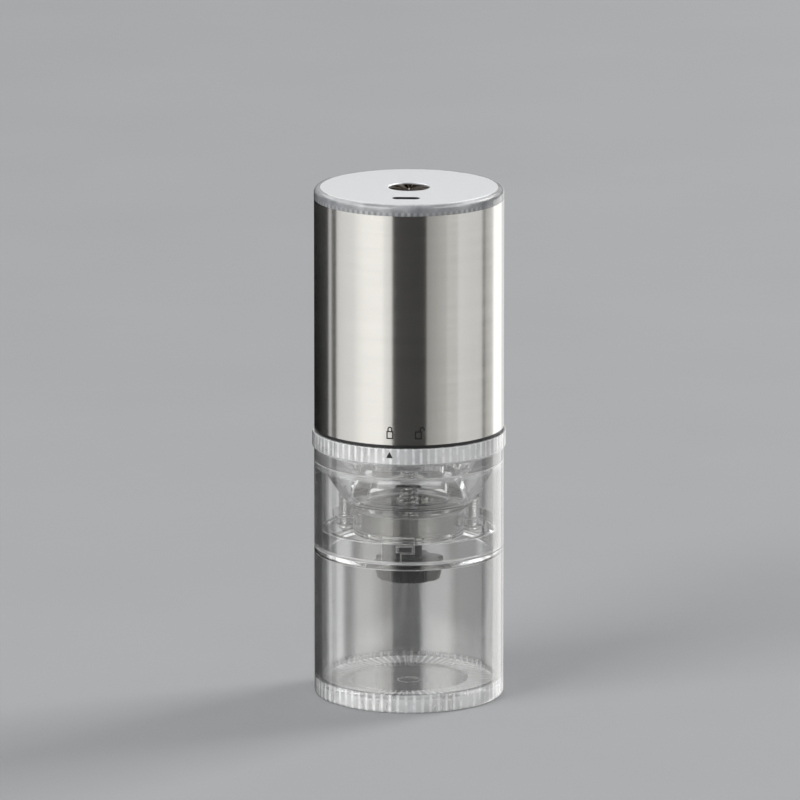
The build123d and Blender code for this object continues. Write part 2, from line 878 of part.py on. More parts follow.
# Black grind knob with finger scallops and a hub that carries the inner burr.
with BuildPart() as adjust_knob:
    with BuildSketch(Plane.XZ) as knob_profile:
        with BuildLine():
            Polyline(
                (0, knob_z),
                (knob_low_radius, knob_z),
                (knob_top_radius, knob_hub_z - knob_straight),
                (knob_top_radius, knob_hub_z),
                (knob_hub_radius, knob_hub_z),
                (knob_hub_radius, knob_hub_z + knob_hub_height),
                (0, knob_hub_z + knob_hub_height),
                close=True,
            )
        make_face()
        knob_corners = knob_profile.vertices().filter_by(lambda vertex: vertex.X > knob_hub_radius + seat_gap)
        fillet(knob_corners, foot_round / 2)
    revolve(axis=Axis.Z)
    with BuildSketch(Plane.XY.offset(knob_z)) as scallop_plan:
        with PolarLocations(knob_low_radius + scallop_radius - scallop_depth, scallop_count, front_angle):
            Circle(scallop_radius)
    extrude(amount=knob_height, taper=-math.degrees(math.atan2(seat_gap, knob_height)), mode=Mode.SUBTRACT)
    with BuildSketch(Plane.XY.offset(knob_z)) as knob_hollow:
        Circle(knob_hollow_radius)
    extrude(amount=knob_hollow_depth, mode=Mode.SUBTRACT)
    with BuildSketch(Plane.XY.offset(knob_z)) as knob_bore:
        Circle(shaft_radius + shaft_fit)
    extrude(amount=knob_height + knob_hub_height, mode=Mode.SUBTRACT)

adjust_knob.part.label = "adjust_knob"
export_step(adjust_knob.part, "parts/adjust_knob.step")

# DRIVE UNIT
# The base cup closes the hopper: a floor, a spigot with three lugs below and an upstand above.
cup_radius = sleeve_bore - seat_gap

with BuildPart() as base_cup:
    with BuildSketch(Plane.XY.offset(unit_z)) as lip_plan:
        Circle(body_radius)
    extrude(amount=lip_height)
    with BuildSketch(Plane.XY.offset(sleeve_z)) as floor_plan:
        Circle(cup_radius)
    extrude(amount=floor_height - lip_height)
    with BuildSketch(Plane.XY.offset(floor_top)) as upstand_plan:
        Circle(cup_radius)
        Circle(cup_radius - upstand_wall, mode=Mode.SUBTRACT)
    extrude(amount=upstand_height)
    with BuildSketch(Plane.XY.offset(unit_z - spigot_height)) as spigot_plan:
        Circle(spigot_radius)
        Circle(spigot_radius - spigot_wall, mode=Mode.SUBTRACT)
    extrude(amount=spigot_height)
    with BuildSketch(Plane.XY.offset(unit_z - spigot_height)) as unit_lugs:
        with PolarLocations(spigot_radius + (unit_lug_reach - spigot_wall / 2) / 2, lug_count, tab_angle):
            Rectangle(unit_lug_reach + spigot_wall / 2, unit_lug_width)
    extrude(amount=unit_lug_height)
    with BuildSketch(Plane.XY.offset(unit_z)) as cup_holes:
        Circle(cup_bore)
        with PolarLocations(column_circle, column_count // 2, column_angle):
            Circle(base_screw_radius + screw_slack)
        with PolarLocations(column_circle, column_count // 2, -column_angle):
            Circle(base_screw_radius + screw_slack)
        with PolarLocations(cover_screw_circle, cover_screw_count, -front_angle):
            Circle(base_screw_radius + screw_slack)
    extrude(amount=floor_height, mode=Mode.SUBTRACT)
    with BuildSketch(Plane.XY.offset(unit_z)) as cup_sinks:
        with PolarLocations(column_circle, column_count // 2, column_angle):
            Circle(base_head_radius + screw_slack)
        with PolarLocations(column_circle, column_count // 2, -column_angle):
            Circle(base_head_radius + screw_slack)
        with PolarLocations(cover_screw_circle, cover_screw_count, -front_angle):
            Circle(base_head_radius + screw_slack)
    extrude(amount=base_head_height, mode=Mode.SUBTRACT)

base_cup.part.label = "base_cup"
export_step(base_cup.part, "parts/base_cup.step")

with BuildPart() as base_screws:
    with BuildSketch(Plane.XY.offset(unit_z)) as base_heads:
        with PolarLocations(column_circle, column_count // 2, column_angle):
            Circle(base_head_radius)
        with PolarLocations(column_circle, column_count // 2, -column_angle):
            Circle(base_head_radius)
        with PolarLocations(cover_screw_circle, cover_screw_count, -front_angle):
            Circle(base_head_radius)
    extrude(amount=base_head_height)
    with BuildSketch(Plane.XY.offset(unit_z)) as base_shanks:
        with PolarLocations(column_circle, column_count // 2, column_angle):
            Circle(base_screw_radius)
        with PolarLocations(column_circle, column_count // 2, -column_angle):
            Circle(base_screw_radius)
        with PolarLocations(cover_screw_circle, cover_screw_count, -front_angle):
            Circle(base_screw_radius)
    extrude(amount=base_screw_length)

base_screws.part.label = "base_screws"
export_step(base_screws.part, "parts/base_screws.step")

with BuildPart() as output_seal:
    with BuildSketch(Plane.XY.offset(unit_z + joint_gap)) as seal_plan:
        Circle(cup_bore - seat_gap)
        Circle(output_radius + shaft_fit, mode=Mode.SUBTRACT)
    extrude(amount=floor_height - joint_gap)

output_seal.part.label = "output_seal"
export_step(output_seal.part, "parts/output_seal.step")

with BuildPart() as steel_sleeve:
    with BuildSketch(Plane.XY.offset(sleeve_z)) as sleeve_plan:
        Circle(body_radius)
        Circle(sleeve_bore, mode=Mode.SUBTRACT)
    extrude(amount=sleeve_top - sleeve_z)

steel_sleeve.part.label = "steel_sleeve"
export_step(steel_sleeve.part, "parts/steel_sleeve.step")

# GEARBOX
# Two planetary stages of five to one share one ring gear, cut in the housing.
cover_top = floor_top + cover_height
housing_top = cover_top + housing_height
motor_plate_top = housing_top + plate_height
output_disc_z = cover_top + planet_lift
output_disc_top = output_disc_z + output_disc
planet_2_z = output_disc_top + planet_lift
stage_disc_z = planet_2_z + planet_width + planet_lift + gear_gap / 3
stage_disc_top = stage_disc_z + stage_disc
planet_1_z = stage_disc_top + gear_gap
pin_length = planet_width + planet_lift
sun_pitch = module_size * sun_teeth / 2
planet_pitch = module_size * planet_teeth / 2
ring_pitch = module_size * ring_teeth / 2
pin_circle = sun_pitch + planet_pitch
sun_tip = sun_pitch + tooth_top * module_size
sun_root = sun_pitch - tooth_foot * module_size
planet_tip = planet_pitch + tooth_top * module_size
planet_root = planet_pitch - tooth_foot * module_size
ring_tip = ring_pitch - tooth_top * module_size
ring_root = ring_pitch + tooth_foot * module_size
bearing_z = floor_top + bearing_lip

with BuildPart() as gearbox_cover:
    with BuildSketch(Plane.XY.offset(floor_top)) as cover_plan:
        Circle(gearbox_radius)
    extrude(amount=cover_height)
    with BuildSketch(Plane.XY.offset(floor_top)) as cover_holes:
        Circle(bearing_radius - race_wall)
        with PolarLocations(gearbox_screw_circle, gearbox_screw_count, gearbox_screw_angle):
            Circle(gearbox_screw_radius + seat_gap)
    extrude(amount=cover_height, mode=Mode.SUBTRACT)
    with BuildSketch(Plane.XY.offset(bearing_z)) as bearing_pocket:
        Circle(bearing_radius + seat_gap)
    extrude(amount=bearing_width, mode=Mode.SUBTRACT)
    with BuildSketch(Plane.XY.offset(floor_top)) as cover_sinks:
        with PolarLocations(gearbox_screw_circle, gearbox_screw_count, gearbox_screw_angle):
            Circle(gearbox_head_radius + seat_gap)
    extrude(amount=gearbox_head_height + head_recess, mode=Mode.SUBTRACT)
    with BuildSketch(Plane.XY.offset(floor_top)) as cover_threads:
        with PolarLocations(cover_screw_circle, cover_screw_count, -front_angle):
            Circle(base_screw_radius + seat_gap)
    extrude(amount=base_screw_length - floor_height + screw_slack, mode=Mode.SUBTRACT)

gearbox_cover.part.label = "gearbox_cover"
export_step(gearbox_cover.part, "parts/gearbox_cover.step")

with BuildPart() as output_bearing:
    race_middle = (output_radius + press_gap + race_wall + bearing_radius - race_wall) / 2
    ball_radius = (bearing_radius - output_radius - press_gap - 2 * race_wall) / 2 - ball_slack
    with BuildSketch(Plane.XY.offset(bearing_z)) as race_plan:
        Circle(bearing_radius)
        Circle(bearing_radius - race_wall, mode=Mode.SUBTRACT)
        Circle(output_radius + press_gap + race_wall)
        Circle(output_radius + press_gap, mode=Mode.SUBTRACT)
    extrude(amount=bearing_width)
    with Locations((0, 0, bearing_z + bearing_width / 2)):
        with PolarLocations(race_middle, ball_count):
            Sphere(ball_radius)

output_bearing.part.label = "output_bearing"
export_step(output_bearing.part, "parts/output_bearing.step")

with BuildPart() as gearbox_housing:
    with BuildSketch(Plane.XY.offset(cover_top)) as housing_plan:
        Circle(gearbox_radius)
        with Locations(Location((0, 0, 0), full_turn / 2 / ring_teeth)):
            Polygon(
                *gear_points(ring_teeth, ring_root, ring_tip, -tooth_slack), align=None, mode=Mode.SUBTRACT
            )
        with PolarLocations(gearbox_screw_circle, gearbox_screw_count, gearbox_screw_angle):
            Circle(gearbox_screw_radius + seat_gap, mode=Mode.SUBTRACT)
    extrude(amount=housing_height)

gearbox_housing.part.label = "gearbox_housing"
export_step(gearbox_housing.part, "parts/gearbox_housing.step")

with BuildPart() as motor_plate:
    with BuildSketch(Plane.XY.offset(housing_top)) as motor_plate_plan:
        Circle(gearbox_radius)
        Circle(rotor_shaft_radius + turn_gap, mode=Mode.SUBTRACT)
        with PolarLocations(gearbox_screw_circle, gearbox_screw_count, gearbox_screw_angle):
            Circle(gearbox_screw_radius + seat_gap, mode=Mode.SUBTRACT)
        with PolarLocations(motor_screw_circle, 2, motor_screw_angle):
            Circle(motor_screw_radius + seat_gap, mode=Mode.SUBTRACT)
    extrude(amount=plate_height)
    with BuildSketch(Plane.XY.offset(housing_top)) as motor_sinks:
        with PolarLocations(motor_screw_circle, 2, motor_screw_angle):
            Circle(motor_head_radius + seat_gap)
    extrude(amount=motor_head_height, mode=Mode.SUBTRACT)

motor_plate.part.label = "motor_plate"
export_step(motor_plate.part, "parts/motor_plate.step")

with BuildPart() as gearbox_screws:
    gearbox_head_z = floor_top + head_recess
    with BuildSketch(Plane.XY.offset(gearbox_head_z)) as gearbox_heads:
        with PolarLocations(gearbox_screw_circle, gearbox_screw_count, gearbox_screw_angle):
            Circle(gearbox_head_radius)
    extrude(amount=gearbox_head_height)
    with BuildSketch(Plane.XY.offset(gearbox_head_z)) as gearbox_shanks:
        with PolarLocations(gearbox_screw_circle, gearbox_screw_count, gearbox_screw_angle):
            Circle(gearbox_screw_radius)
    extrude(amount=motor_plate_top - gearbox_head_z - head_recess)

gearbox_screws.part.label = "gearbox_screws"
export_step(gearbox_screws.part, "parts/gearbox_screws.step")

with BuildPart() as motor_screws:
    with BuildSketch(Plane.XY.offset(housing_top)) as motor_heads:
        with PolarLocations(motor_screw_circle, 2, motor_screw_angle):
            Circle(motor_head_radius)
    extrude(amount=motor_head_height)
    with BuildSketch(Plane.XY.offset(housing_top)) as motor_shanks:
        with PolarLocations(motor_screw_circle, 2, motor_screw_angle):
            Circle(motor_screw_radius)
    extrude(amount=plate_height + can_wall)

motor_screws.part.label = "motor_screws"
export_step(motor_screws.part, "parts/motor_screws.step")

# The output carrier and its shaft run down through the bearing and the seal.
with BuildPart() as output_carrier:
    with BuildSketch(Plane.XY.offset(output_disc_z)) as output_disc_plan:
        Circle(disc_radius)
    extrude(amount=output_disc)
    with BuildSketch(Plane.XY.offset(output_disc_z)) as output_pin_holes:
        with PolarLocations(pin_circle, planet_count):
            Circle(pin_radius + press_gap)
    extrude(amount=output_disc, mode=Mode.SUBTRACT)
    with BuildSketch(Plane.XY.offset(output_disc_z - output_length)) as output_shaft_plan:
        Circle(output_radius)
    extrude(amount=output_length)

output_carrier.part.label = "output_carrier"
export_step(output_carrier.part, "parts/output_carrier.step")

with BuildPart() as output_pins:
    with BuildSketch(Plane.XY.offset(output_disc_z)) as output_pin_plan:
        with PolarLocations(pin_circle, planet_count):
            Circle(pin_radius)
    extrude(amount=output_disc + pin_length)

output_pins.part.label = "output_pins"
export_step(output_pins.part, "parts/output_pins.step")

with BuildPart() as stage_carrier:
    with BuildSketch(Plane.XY.offset(stage_disc_z)) as stage_disc_plan:
        Circle(disc_radius)
        with PolarLocations(pin_circle, planet_count):
            Circle(pin_radius + press_gap, mode=Mode.SUBTRACT)
    extrude(amount=stage_disc)
    with BuildSketch(Plane.XY.offset(output_disc_top + gear_gap)) as second_sun_plan:
        Polygon(*gear_points(sun_teeth, sun_tip, sun_root, tooth_slack), align=None)
    extrude(amount=stage_disc_z - output_disc_top - gear_gap)

stage_carrier.part.label = "stage_carrier"
export_step(stage_carrier.part, "parts/stage_carrier.step")

with BuildPart() as stage_pins:
    with BuildSketch(Plane.XY.offset(stage_disc_z)) as stage_pin_plan:
        with PolarLocations(pin_circle, planet_count):
            Circle(pin_radius)
    extrude(amount=stage_disc + pin_length)

stage_pins.part.label = "stage_pins"
export_step(stage_pins.part, "parts/stage_pins.step")

# Each planet starts with a gap between two teeth facing the sun gear's tooth.
planet_outline = gear_points(planet_teeth, planet_tip, planet_root, tooth_slack)
planet_turns = []
for planet in range(planet_count):
    planet_angle = full_turn * planet / planet_count
    sun_step = full_turn / sun_teeth
    sun_offset = round(planet_angle / sun_step) * sun_step - planet_angle
    sun_shift = sun_offset * sun_teeth / planet_teeth
    planet_turns.append(planet_angle - sun_shift + (full_turn + full_turn / planet_teeth) / 2)

for stage_name, stage_z in (("1", planet_1_z), ("2", planet_2_z)):
    for planet, planet_letter in enumerate("abc"[:planet_count]):
        planet_angle = math.radians(full_turn * planet / planet_count)
        planet_centre = (pin_circle * math.cos(planet_angle), pin_circle * math.sin(planet_angle), 0)
        with BuildPart() as planet_gear:
            with BuildSketch(Plane.XY.offset(stage_z)) as planet_plan:
                with Locations(Location(planet_centre, planet_turns[planet])):
                    Polygon(*planet_outline, align=None)
                    Circle(pin_radius + shaft_fit, mode=Mode.SUBTRACT)
            extrude(amount=planet_width)
        planet_gear.part.label = "planet_" + stage_name + planet_letter
        export_step(planet_gear.part, "parts/planet_" + stage_name + planet_letter + ".step")

# The dog on the output shaft meets the socket with free play, so the unit can turn to unlock.
dog_offset = drive_twist / 2 + full_turn / 2 / clutch_jaws

with BuildPart() as drive_dog:
    with BuildSketch(Plane.XY.offset(clutch_z + turn_gap)) as dog_plan:
        Circle(clutch_radius)
    extrude(amount=jaw_height + dog_hub_height)
    for jaw in range(clutch_jaws):
        gap_start = full_turn * jaw / clutch_jaws + dog_offset + dog_jaw_width / 2
        gap_end = full_turn * (jaw + 1) / clutch_jaws + dog_offset - dog_jaw_width / 2
        with BuildSketch(Plane.XY.offset(clutch_z + turn_gap)) as dog_gap:
            Polygon(*wedge_points(clutch_radius, gap_start, gap_end), align=None)
        extrude(amount=jaw_height, mode=Mode.SUBTRACT)
    with BuildSketch(Plane.XY.offset(clutch_z + turn_gap)) as dog_middle:
        Circle(clutch_bore)
    extrude(amount=jaw_height, mode=Mode.SUBTRACT)
    with BuildSketch(Plane.XY.offset(output_disc_z - output_length)) as dog_bore_plan:
        Circle(output_radius + press_gap)
    extrude(amount=output_length, mode=Mode.SUBTRACT)

drive_dog.part.label = "drive_dog"
export_step(drive_dog.part, "parts/drive_dog.step")

# MOTOR
can_top = motor_plate_top + can_height
end_cap_top = can_top + end_cap_height
can_bore = can_radius - can_wall

with BuildPart() as motor_can:
    with BuildSketch(Plane.XY.offset(motor_plate_top)) as can_plan:
        Circle(can_radius)
    extrude(amount=can_height)
    with BuildSketch(Plane.XY.offset(motor_plate_top + can_wall)) as can_inside:
        Circle(can_bore)
    extrude(amount=can_height - can_wall, mode=Mode.SUBTRACT)
    with BuildSketch(Plane.XY.offset(motor_plate_top)) as can_holes:
        Circle(motor_bush_radius + seat_gap)
        with PolarLocations(motor_screw_circle, 2, motor_screw_angle):
            Circle(motor_screw_radius + seat_gap)
    extrude(amount=can_wall, mode=Mode.SUBTRACT)

motor_can.part.label = "motor_can"
export_step(motor_can.part, "parts/motor_can.step")

with BuildPart() as motor_bushes:
    with BuildSketch(Plane.XY.offset(motor_plate_top)) as low_bush_plan:
        Circle(motor_bush_radius)
        Circle(rotor_shaft_radius + shaft_fit, mode=Mode.SUBTRACT)
    extrude(amount=motor_bush_length)
    with BuildSketch(Plane.XY.offset(can_top)) as high_bush_plan:
        Circle(motor_bush_radius)
        Circle(rotor_shaft_radius + shaft_fit, mode=Mode.SUBTRACT)
    extrude(amount=end_cap_height)

motor_bushes.part.label = "motor_bushes"
export_step(motor_bushes.part, "parts/motor_bushes.step")

with BuildPart() as motor_end_cap:
    with BuildSketch(Plane.XY.offset(can_top)) as end_cap_plan:
        Circle(can_radius)
        Circle(motor_bush_radius + seat_gap, mode=Mode.SUBTRACT)
        with PolarLocations(terminal_spread, 2):
            Rectangle(terminal_sheet + 2 * seat_gap, terminal_size + 2 * seat_gap, mode=Mode.SUBTRACT)
    extrude(amount=end_cap_height)

motor_end_cap.part.label = "motor_end_cap"
export_step(motor_end_cap.part, "parts/motor_end_cap.step")

with BuildPart() as motor_magnets:
    with BuildSketch(Plane.XY.offset(motor_plate_top + magnet_lift)) as magnet_plan:
        Circle(can_bore - seat_gap)
        Circle(can_bore - seat_gap - magnet_wall, mode=Mode.SUBTRACT)
        Rectangle(magnet_split, 2 * can_radius, mode=Mode.SUBTRACT)
    extrude(amount=magnet_length)

motor_magnets.part.label = "motor_magnets"
export_step(motor_magnets.part, "parts/motor_magnets.step")

commutator_z = motor_plate_top + commutator_lift

# Each contact is a brush under the end cap with its terminal standing up through it.
with BuildPart() as motor_contacts:
    with BuildSketch(Plane.XY.offset(can_top - brush_height)) as brush_plan:
        with PolarLocations(commutator_radius + brush_gap + brush_length / 2, 2):
            Rectangle(brush_length, brush_width)
    extrude(amount=brush_height)
    with BuildSketch(Plane.XY.offset(can_top)) as terminal_plan:
        with PolarLocations(terminal_spread, 2):
            Rectangle(terminal_sheet, terminal_size)
    extrude(amount=end_cap_height + terminal_height)

motor_contacts.part.label = "motor_contacts"
export_step(motor_contacts.part, "parts/motor_contacts.step")

with BuildPart() as motor_shaft:
    with BuildSketch(Plane.XY.offset(planet_1_z)) as rotor_shaft_plan:
        Circle(rotor_shaft_radius)
    extrude(amount=end_cap_top - planet_1_z)

motor_shaft.part.label = "motor_shaft"
export_step(motor_shaft.part, "parts/motor_shaft.step")

with BuildPart() as sun_gear:
    with BuildSketch(Plane.XY.offset(planet_1_z)) as sun_plan:
        Polygon(*gear_points(sun_teeth, sun_tip, sun_root, tooth_slack), align=None)
        Circle(rotor_shaft_radius + press_gap, mode=Mode.SUBTRACT)
    extrude(amount=pin_length)

sun_gear.part.label = "sun_gear"
export_step(sun_gear.part, "parts/sun_gear.step")

core_z = motor_plate_top + core_lift

with BuildPart() as armature_core:
    with BuildSketch(Plane.XY.offset(core_z)) as core_plan:
        Circle(core_radius)
        Circle(core_radius - core_rim, mode=Mode.SUBTRACT)
        with PolarLocations(core_radius, pole_count, full_turn / 2 / pole_count):
            Rectangle(4 * core_rim, core_slot, mode=Mode.SUBTRACT)
        Circle(core_hub)
        with PolarLocations((core_radius - core_rim / 2) / 2, pole_count):
            Rectangle(core_radius - core_rim / 2, core_spoke)
        Circle(rotor_shaft_radius + press_gap, mode=Mode.SUBTRACT)
    extrude(amount=core_length)

armature_core.part.label = "armature_core"
export_step(armature_core.part, "parts/armature_core.step")

with BuildPart() as armature_coils:
    with BuildSketch(Plane.XY.offset(core_z - coil_overhang)) as coil_plan:
        with PolarLocations(coil_centre, pole_count):
            Rectangle(coil_reach, coil_width)
    extrude(amount=core_length + 2 * coil_overhang)
    with BuildSketch(Plane.XY.offset(core_z - seat_gap)) as coil_window:
        with PolarLocations(coil_centre, pole_count):
            Rectangle(2 * coil_reach, core_spoke + 2 * seat_gap)
    extrude(amount=core_length + 2 * seat_gap, mode=Mode.SUBTRACT)

armature_coils.part.label = "armature_coils"
export_step(armature_coils.part, "parts/armature_coils.step")

with BuildPart() as commutator:
    with BuildSketch(Plane.XY.offset(commutator_z)) as commutator_plan:
        Circle(commutator_radius)
        Circle(rotor_shaft_radius + press_gap, mode=Mode.SUBTRACT)
    extrude(amount=commutator_length)

commutator.part.label = "commutator"
export_step(commutator.part, "parts/commutator.step")

# INNER FRAME, CELLS AND LEADS
collar_bore = cell_radius + cell_collar_gap

with BuildPart() as chassis:
    with BuildSketch(Plane.XY.offset(lower_plate_z)) as lower_plate_plan:
        Circle(plate_radius)
    extrude(amount=frame_plate)
    with BuildSketch(Plane.XY.offset(upper_plate_z)) as upper_plate_plan:
        Circle(plate_radius)
    extrude(amount=frame_plate)
    with BuildSketch(Plane.XY.offset(lower_plate_top)) as low_collars:
        with PolarLocations(cell_circle, 2):
            Circle(collar_bore + collar_wall)
            Circle(collar_bore, mode=Mode.SUBTRACT)
    extrude(amount=cell_collar_height)
    with BuildSketch(Plane.XY.offset(upper_plate_z)) as high_collars:
        with PolarLocations(cell_circle, 2):
            Circle(collar_bore + collar_wall)
            Circle(collar_bore, mode=Mode.SUBTRACT)
    extrude(amount=-cell_collar_height)
    with BuildSketch(Plane.XY.offset(floor_top)) as column_plan:
        with PolarLocations(column_circle, column_count // 2, column_angle):
            Circle(column_radius)
        with PolarLocations(column_circle, column_count // 2, -column_angle):
            Circle(column_radius)
    extrude(amount=board_z - floor_top)
    with BuildSketch(Plane.XY.offset(lower_plate_z)) as gearbox_hole:
        Circle(gearbox_radius + seat_gap)
    extrude(amount=upper_plate_z - lower_plate_z, mode=Mode.SUBTRACT)
    with BuildSketch(Plane.XY.offset(lower_plate_top)) as link_notch:
        Circle(link_inner + link_width + turn_gap)
        Circle(link_inner - turn_gap, mode=Mode.SUBTRACT)
    extrude(amount=tab_sheet + turn_gap, mode=Mode.SUBTRACT)
    with BuildSketch(Plane.XY.offset(upper_plate_z)) as upper_holes:
        Circle(lead_bore)
        with PolarLocations(cell_circle, 2):
            Circle(2 * lead_radius)
        with PolarLocations(post_circle, 2, front_angle):
            Circle(top_screw_radius + screw_slack)
    extrude(amount=frame_plate, mode=Mode.SUBTRACT)
    with BuildSketch(Plane.XY.offset(floor_top)) as column_low_holes:
        with PolarLocations(column_circle, column_count // 2, column_angle):
            Circle(base_screw_radius + seat_gap)
        with PolarLocations(column_circle, column_count // 2, -column_angle):
            Circle(base_screw_radius + seat_gap)
    extrude(amount=base_screw_length - floor_height + screw_slack, mode=Mode.SUBTRACT)
    with BuildSketch(Plane.XY.offset(board_z)) as column_high_holes:
        with PolarLocations(column_circle, column_count // 2, column_angle):
            Circle(board_screw_radius + seat_gap)
        with PolarLocations(column_circle, column_count // 2, -column_angle):
            Circle(board_screw_radius + seat_gap)
    extrude(amount=-(board_screw_length - board_thickness + screw_slack), mode=Mode.SUBTRACT)

chassis.part.label = "chassis"
export_step(chassis.part, "parts/chassis.step")

with BuildPart() as cell_left:
    with BuildSketch(Plane.XY.offset(cell_z)) as cell_left_plan:
        with Locations((-cell_circle, 0)):
            Circle(cell_radius)
    extrude(amount=cell_length - cell_nub)
    with BuildSketch(Plane.XY.offset(cell_top - cell_nub)) as cell_left_nub:
        with Locations((-cell_circle, 0)):
            Circle(cell_nub_radius)
    extrude(amount=cell_nub)

cell_left.part.label = "cell_left"
export_step(cell_left.part, "parts/cell_left.step")

with BuildPart() as cell_right:
    with BuildSketch(Plane.XY.offset(cell_z + cell_nub)) as cell_right_plan:
        with Locations((cell_circle, 0)):
            Circle(cell_radius)
    extrude(amount=cell_length - cell_nub)
    with BuildSketch(Plane.XY.offset(cell_z)) as cell_right_nub:
        with Locations((cell_circle, 0)):
            Circle(cell_nub_radius)
    extrude(amount=cell_nub)

cell_right.part.label = "cell_right"
export_step(cell_right.part, "parts/cell_right.step")

# One strip round the front links the cells below, and a tab on each cell feeds the board above.
with BuildPart() as cell_tabs:
    with BuildSketch(Plane.XY.offset(lower_plate_top)) as low_tabs:
        Circle(link_inner + link_width)
        Circle(link_inner, mode=Mode.SUBTRACT)
        with Locations((0, -link_inner)):
            Rectangle(2 * plate_radius, 2 * link_inner, mode=Mode.INTERSECT)
        with PolarLocations(cell_circle, 2):
            Rectangle(tab_size, tab_size)
    extrude(amount=tab_sheet)
    with BuildSketch(Plane.XY.offset(cell_top)) as high_tabs:
        with PolarLocations(cell_circle, 2):
            Rectangle(tab_size, tab_size)
    extrude(amount=tab_sheet)

cell_tabs.part.label = "cell_tabs"
export_step(cell_tabs.part, "parts/cell_tabs.step")

# Leads run from the motor terminals and from the cell tabs straight up to the board.
lead_low = end_cap_top + terminal_height
lead_bend_low = lead_low + (board_z - lead_low) / 3
lead_bend_high = lead_low + 2 * (board_z - lead_low) / 3
cell_lead_rise = board_z - upper_plate_z
cell_lead_low = upper_plate_z + cell_lead_rise / 3
cell_lead_high = upper_plate_z + 2 * cell_lead_rise / 3

with BuildPart() as lead_wires:
    for side in (-1, 1):
        with BuildLine() as motor_lead_line:
            FilletPolyline(
                (side * terminal_spread, 0, lead_low),
                (side * terminal_spread, 0, lead_bend_low),
                (side * (terminal_spread + lead_shift), 0, lead_bend_high),
                (side * (terminal_spread + lead_shift), 0, board_z),
                radius=lead_bend_radius,
            )
        with BuildSketch(Plane.XY.offset(lead_low)) as motor_lead_section:
            with Locations((side * terminal_spread, 0)):
                Circle(lead_radius)
        sweep(path=motor_lead_line.wires()[0])
        with BuildLine() as cell_lead_line:
            FilletPolyline(
                (side * cell_circle, 0, upper_plate_z),
                (side * cell_circle, 0, cell_lead_low),
                (side * (cell_circle - lead_shift), 0, cell_lead_high),
                (side * (cell_circle - lead_shift), 0, board_z),
                radius=lead_bend_radius,
            )
        with BuildSketch(Plane.XY.offset(upper_plate_z)) as cell_lead_section:
            with Locations((side * cell_circle, 0)):
                Circle(lead_radius)
        sweep(path=cell_lead_line.wires()[0])

lead_wires.part.label = "lead_wires"
export_step(lead_wires.part, "parts/lead_wires.step")

# BOARD, SWITCH AND CHARGING SOCKET
with BuildPart() as control_board:
    with BuildSketch(Plane.XY.offset(board_z)) as board_plan:
        Circle(board_radius)
        with PolarLocations(column_circle, column_count // 2, column_angle):
            Circle(board_screw_radius + screw_slack, mode=Mode.SUBTRACT)
        with PolarLocations(column_circle, column_count // 2, -column_angle):
            Circle(board_screw_radius + screw_slack, mode=Mode.SUBTRACT)
    extrude(amount=board_thickness)

control_board.part.label = "control_board"
export_step(control_board.part, "parts/control_board.step")

with BuildPart() as board_screws:
    with BuildSketch(Plane.XY.offset(board_top)) as board_heads:
        with PolarLocations(column_circle, column_count // 2, column_angle):
            Circle(board_head_radius)
        with PolarLocations(column_circle, column_count // 2, -column_angle):
            Circle(board_head_radius)
    extrude(amount=board_head_height)
    with BuildSketch(Plane.XY.offset(board_top)) as board_shanks:
        with PolarLocations(column_circle, column_count // 2, column_angle):
            Circle(board_screw_radius)
        with PolarLocations(column_circle, column_count // 2, -column_angle):
            Circle(board_screw_radius)
    extrude(amount=-board_screw_length)

board_screws.part.label = "board_screws"
export_step(board_screws.part, "parts/board_screws.step")

with BuildPart() as button_switch:
    with BuildSketch(Plane.XY.offset(board_top)) as switch_plan:
        Rectangle(switch_size, switch_size)
    extrude(amount=switch_height)
    with BuildSketch(Plane.XY.offset(board_top + switch_height)) as plunger_hole:
        Circle(plunger_radius + plunger_gap)
    extrude(amount=-plunger_bore_depth, mode=Mode.SUBTRACT)

button_switch.part.label = "button_switch"
export_step(button_switch.part, "parts/button_switch.step")

plunger_top = board_top + switch_height + plunger_rise

with BuildPart() as switch_plunger:
    with BuildSketch(Plane.XY.offset(plunger_top)) as plunger_plan:
        Circle(plunger_radius)
    extrude(amount=-plunger_length)

switch_plunger.part.label = "switch_plunger"
export_step(switch_plunger.part, "parts/switch_plunger.step")

usb_top = unit_top - usb_recess

with BuildPart() as usb_shell:
    with BuildSketch(Plane.XY.offset(board_top)) as usb_plan:
        with Locations((0, -usb_setback)):
            RectangleRounded(usb_width, usb_depth, usb_corner)
            RectangleRounded(
                usb_width - 2 * usb_sheet,
                usb_depth - 2 * usb_sheet,
                usb_corner - usb_sheet,
                mode=Mode.SUBTRACT,
            )
    extrude(amount=usb_top - board_top)

usb_shell.part.label = "usb_shell"
export_step(usb_shell.part, "parts/usb_shell.step")

with BuildPart() as usb_tongue:
    with BuildSketch(Plane.XY.offset(board_top)) as usb_block:
        with Locations((0, -usb_setback)):
            RectangleRounded(
                usb_width - 2 * usb_sheet - 2 * seat_gap,
                usb_depth - 2 * usb_sheet - 2 * seat_gap,
                usb_corner - usb_sheet - seat_gap,
            )
    extrude(amount=usb_block_height)
    with BuildSketch(Plane.XY.offset(board_top)) as tongue_plan:
        with Locations((0, -usb_setback)):
            Rectangle(tongue_width, tongue_depth)
    extrude(amount=usb_top - tongue_recess - board_top)

usb_tongue.part.label = "usb_tongue"
export_step(usb_tongue.part, "parts/usb_tongue.step")

# TOP GROUP
# A black frame sits in the sleeve and carries the clear ring, the metal plate and the button.
plate_z = unit_top - plate_thickness
frame_radius = cap_bore - seat_gap
button_top = unit_top - button_recess
button_low = button_top - button_height
flange_radius = button_radius + button_flange
dish_radius = button_radius - top_chamfer
dish_sphere = (dish_radius**2 + button_dish**2) / (2 * button_dish)
dish_middle = math.sqrt(dish_sphere**2 - dish_radius**2 / 4)

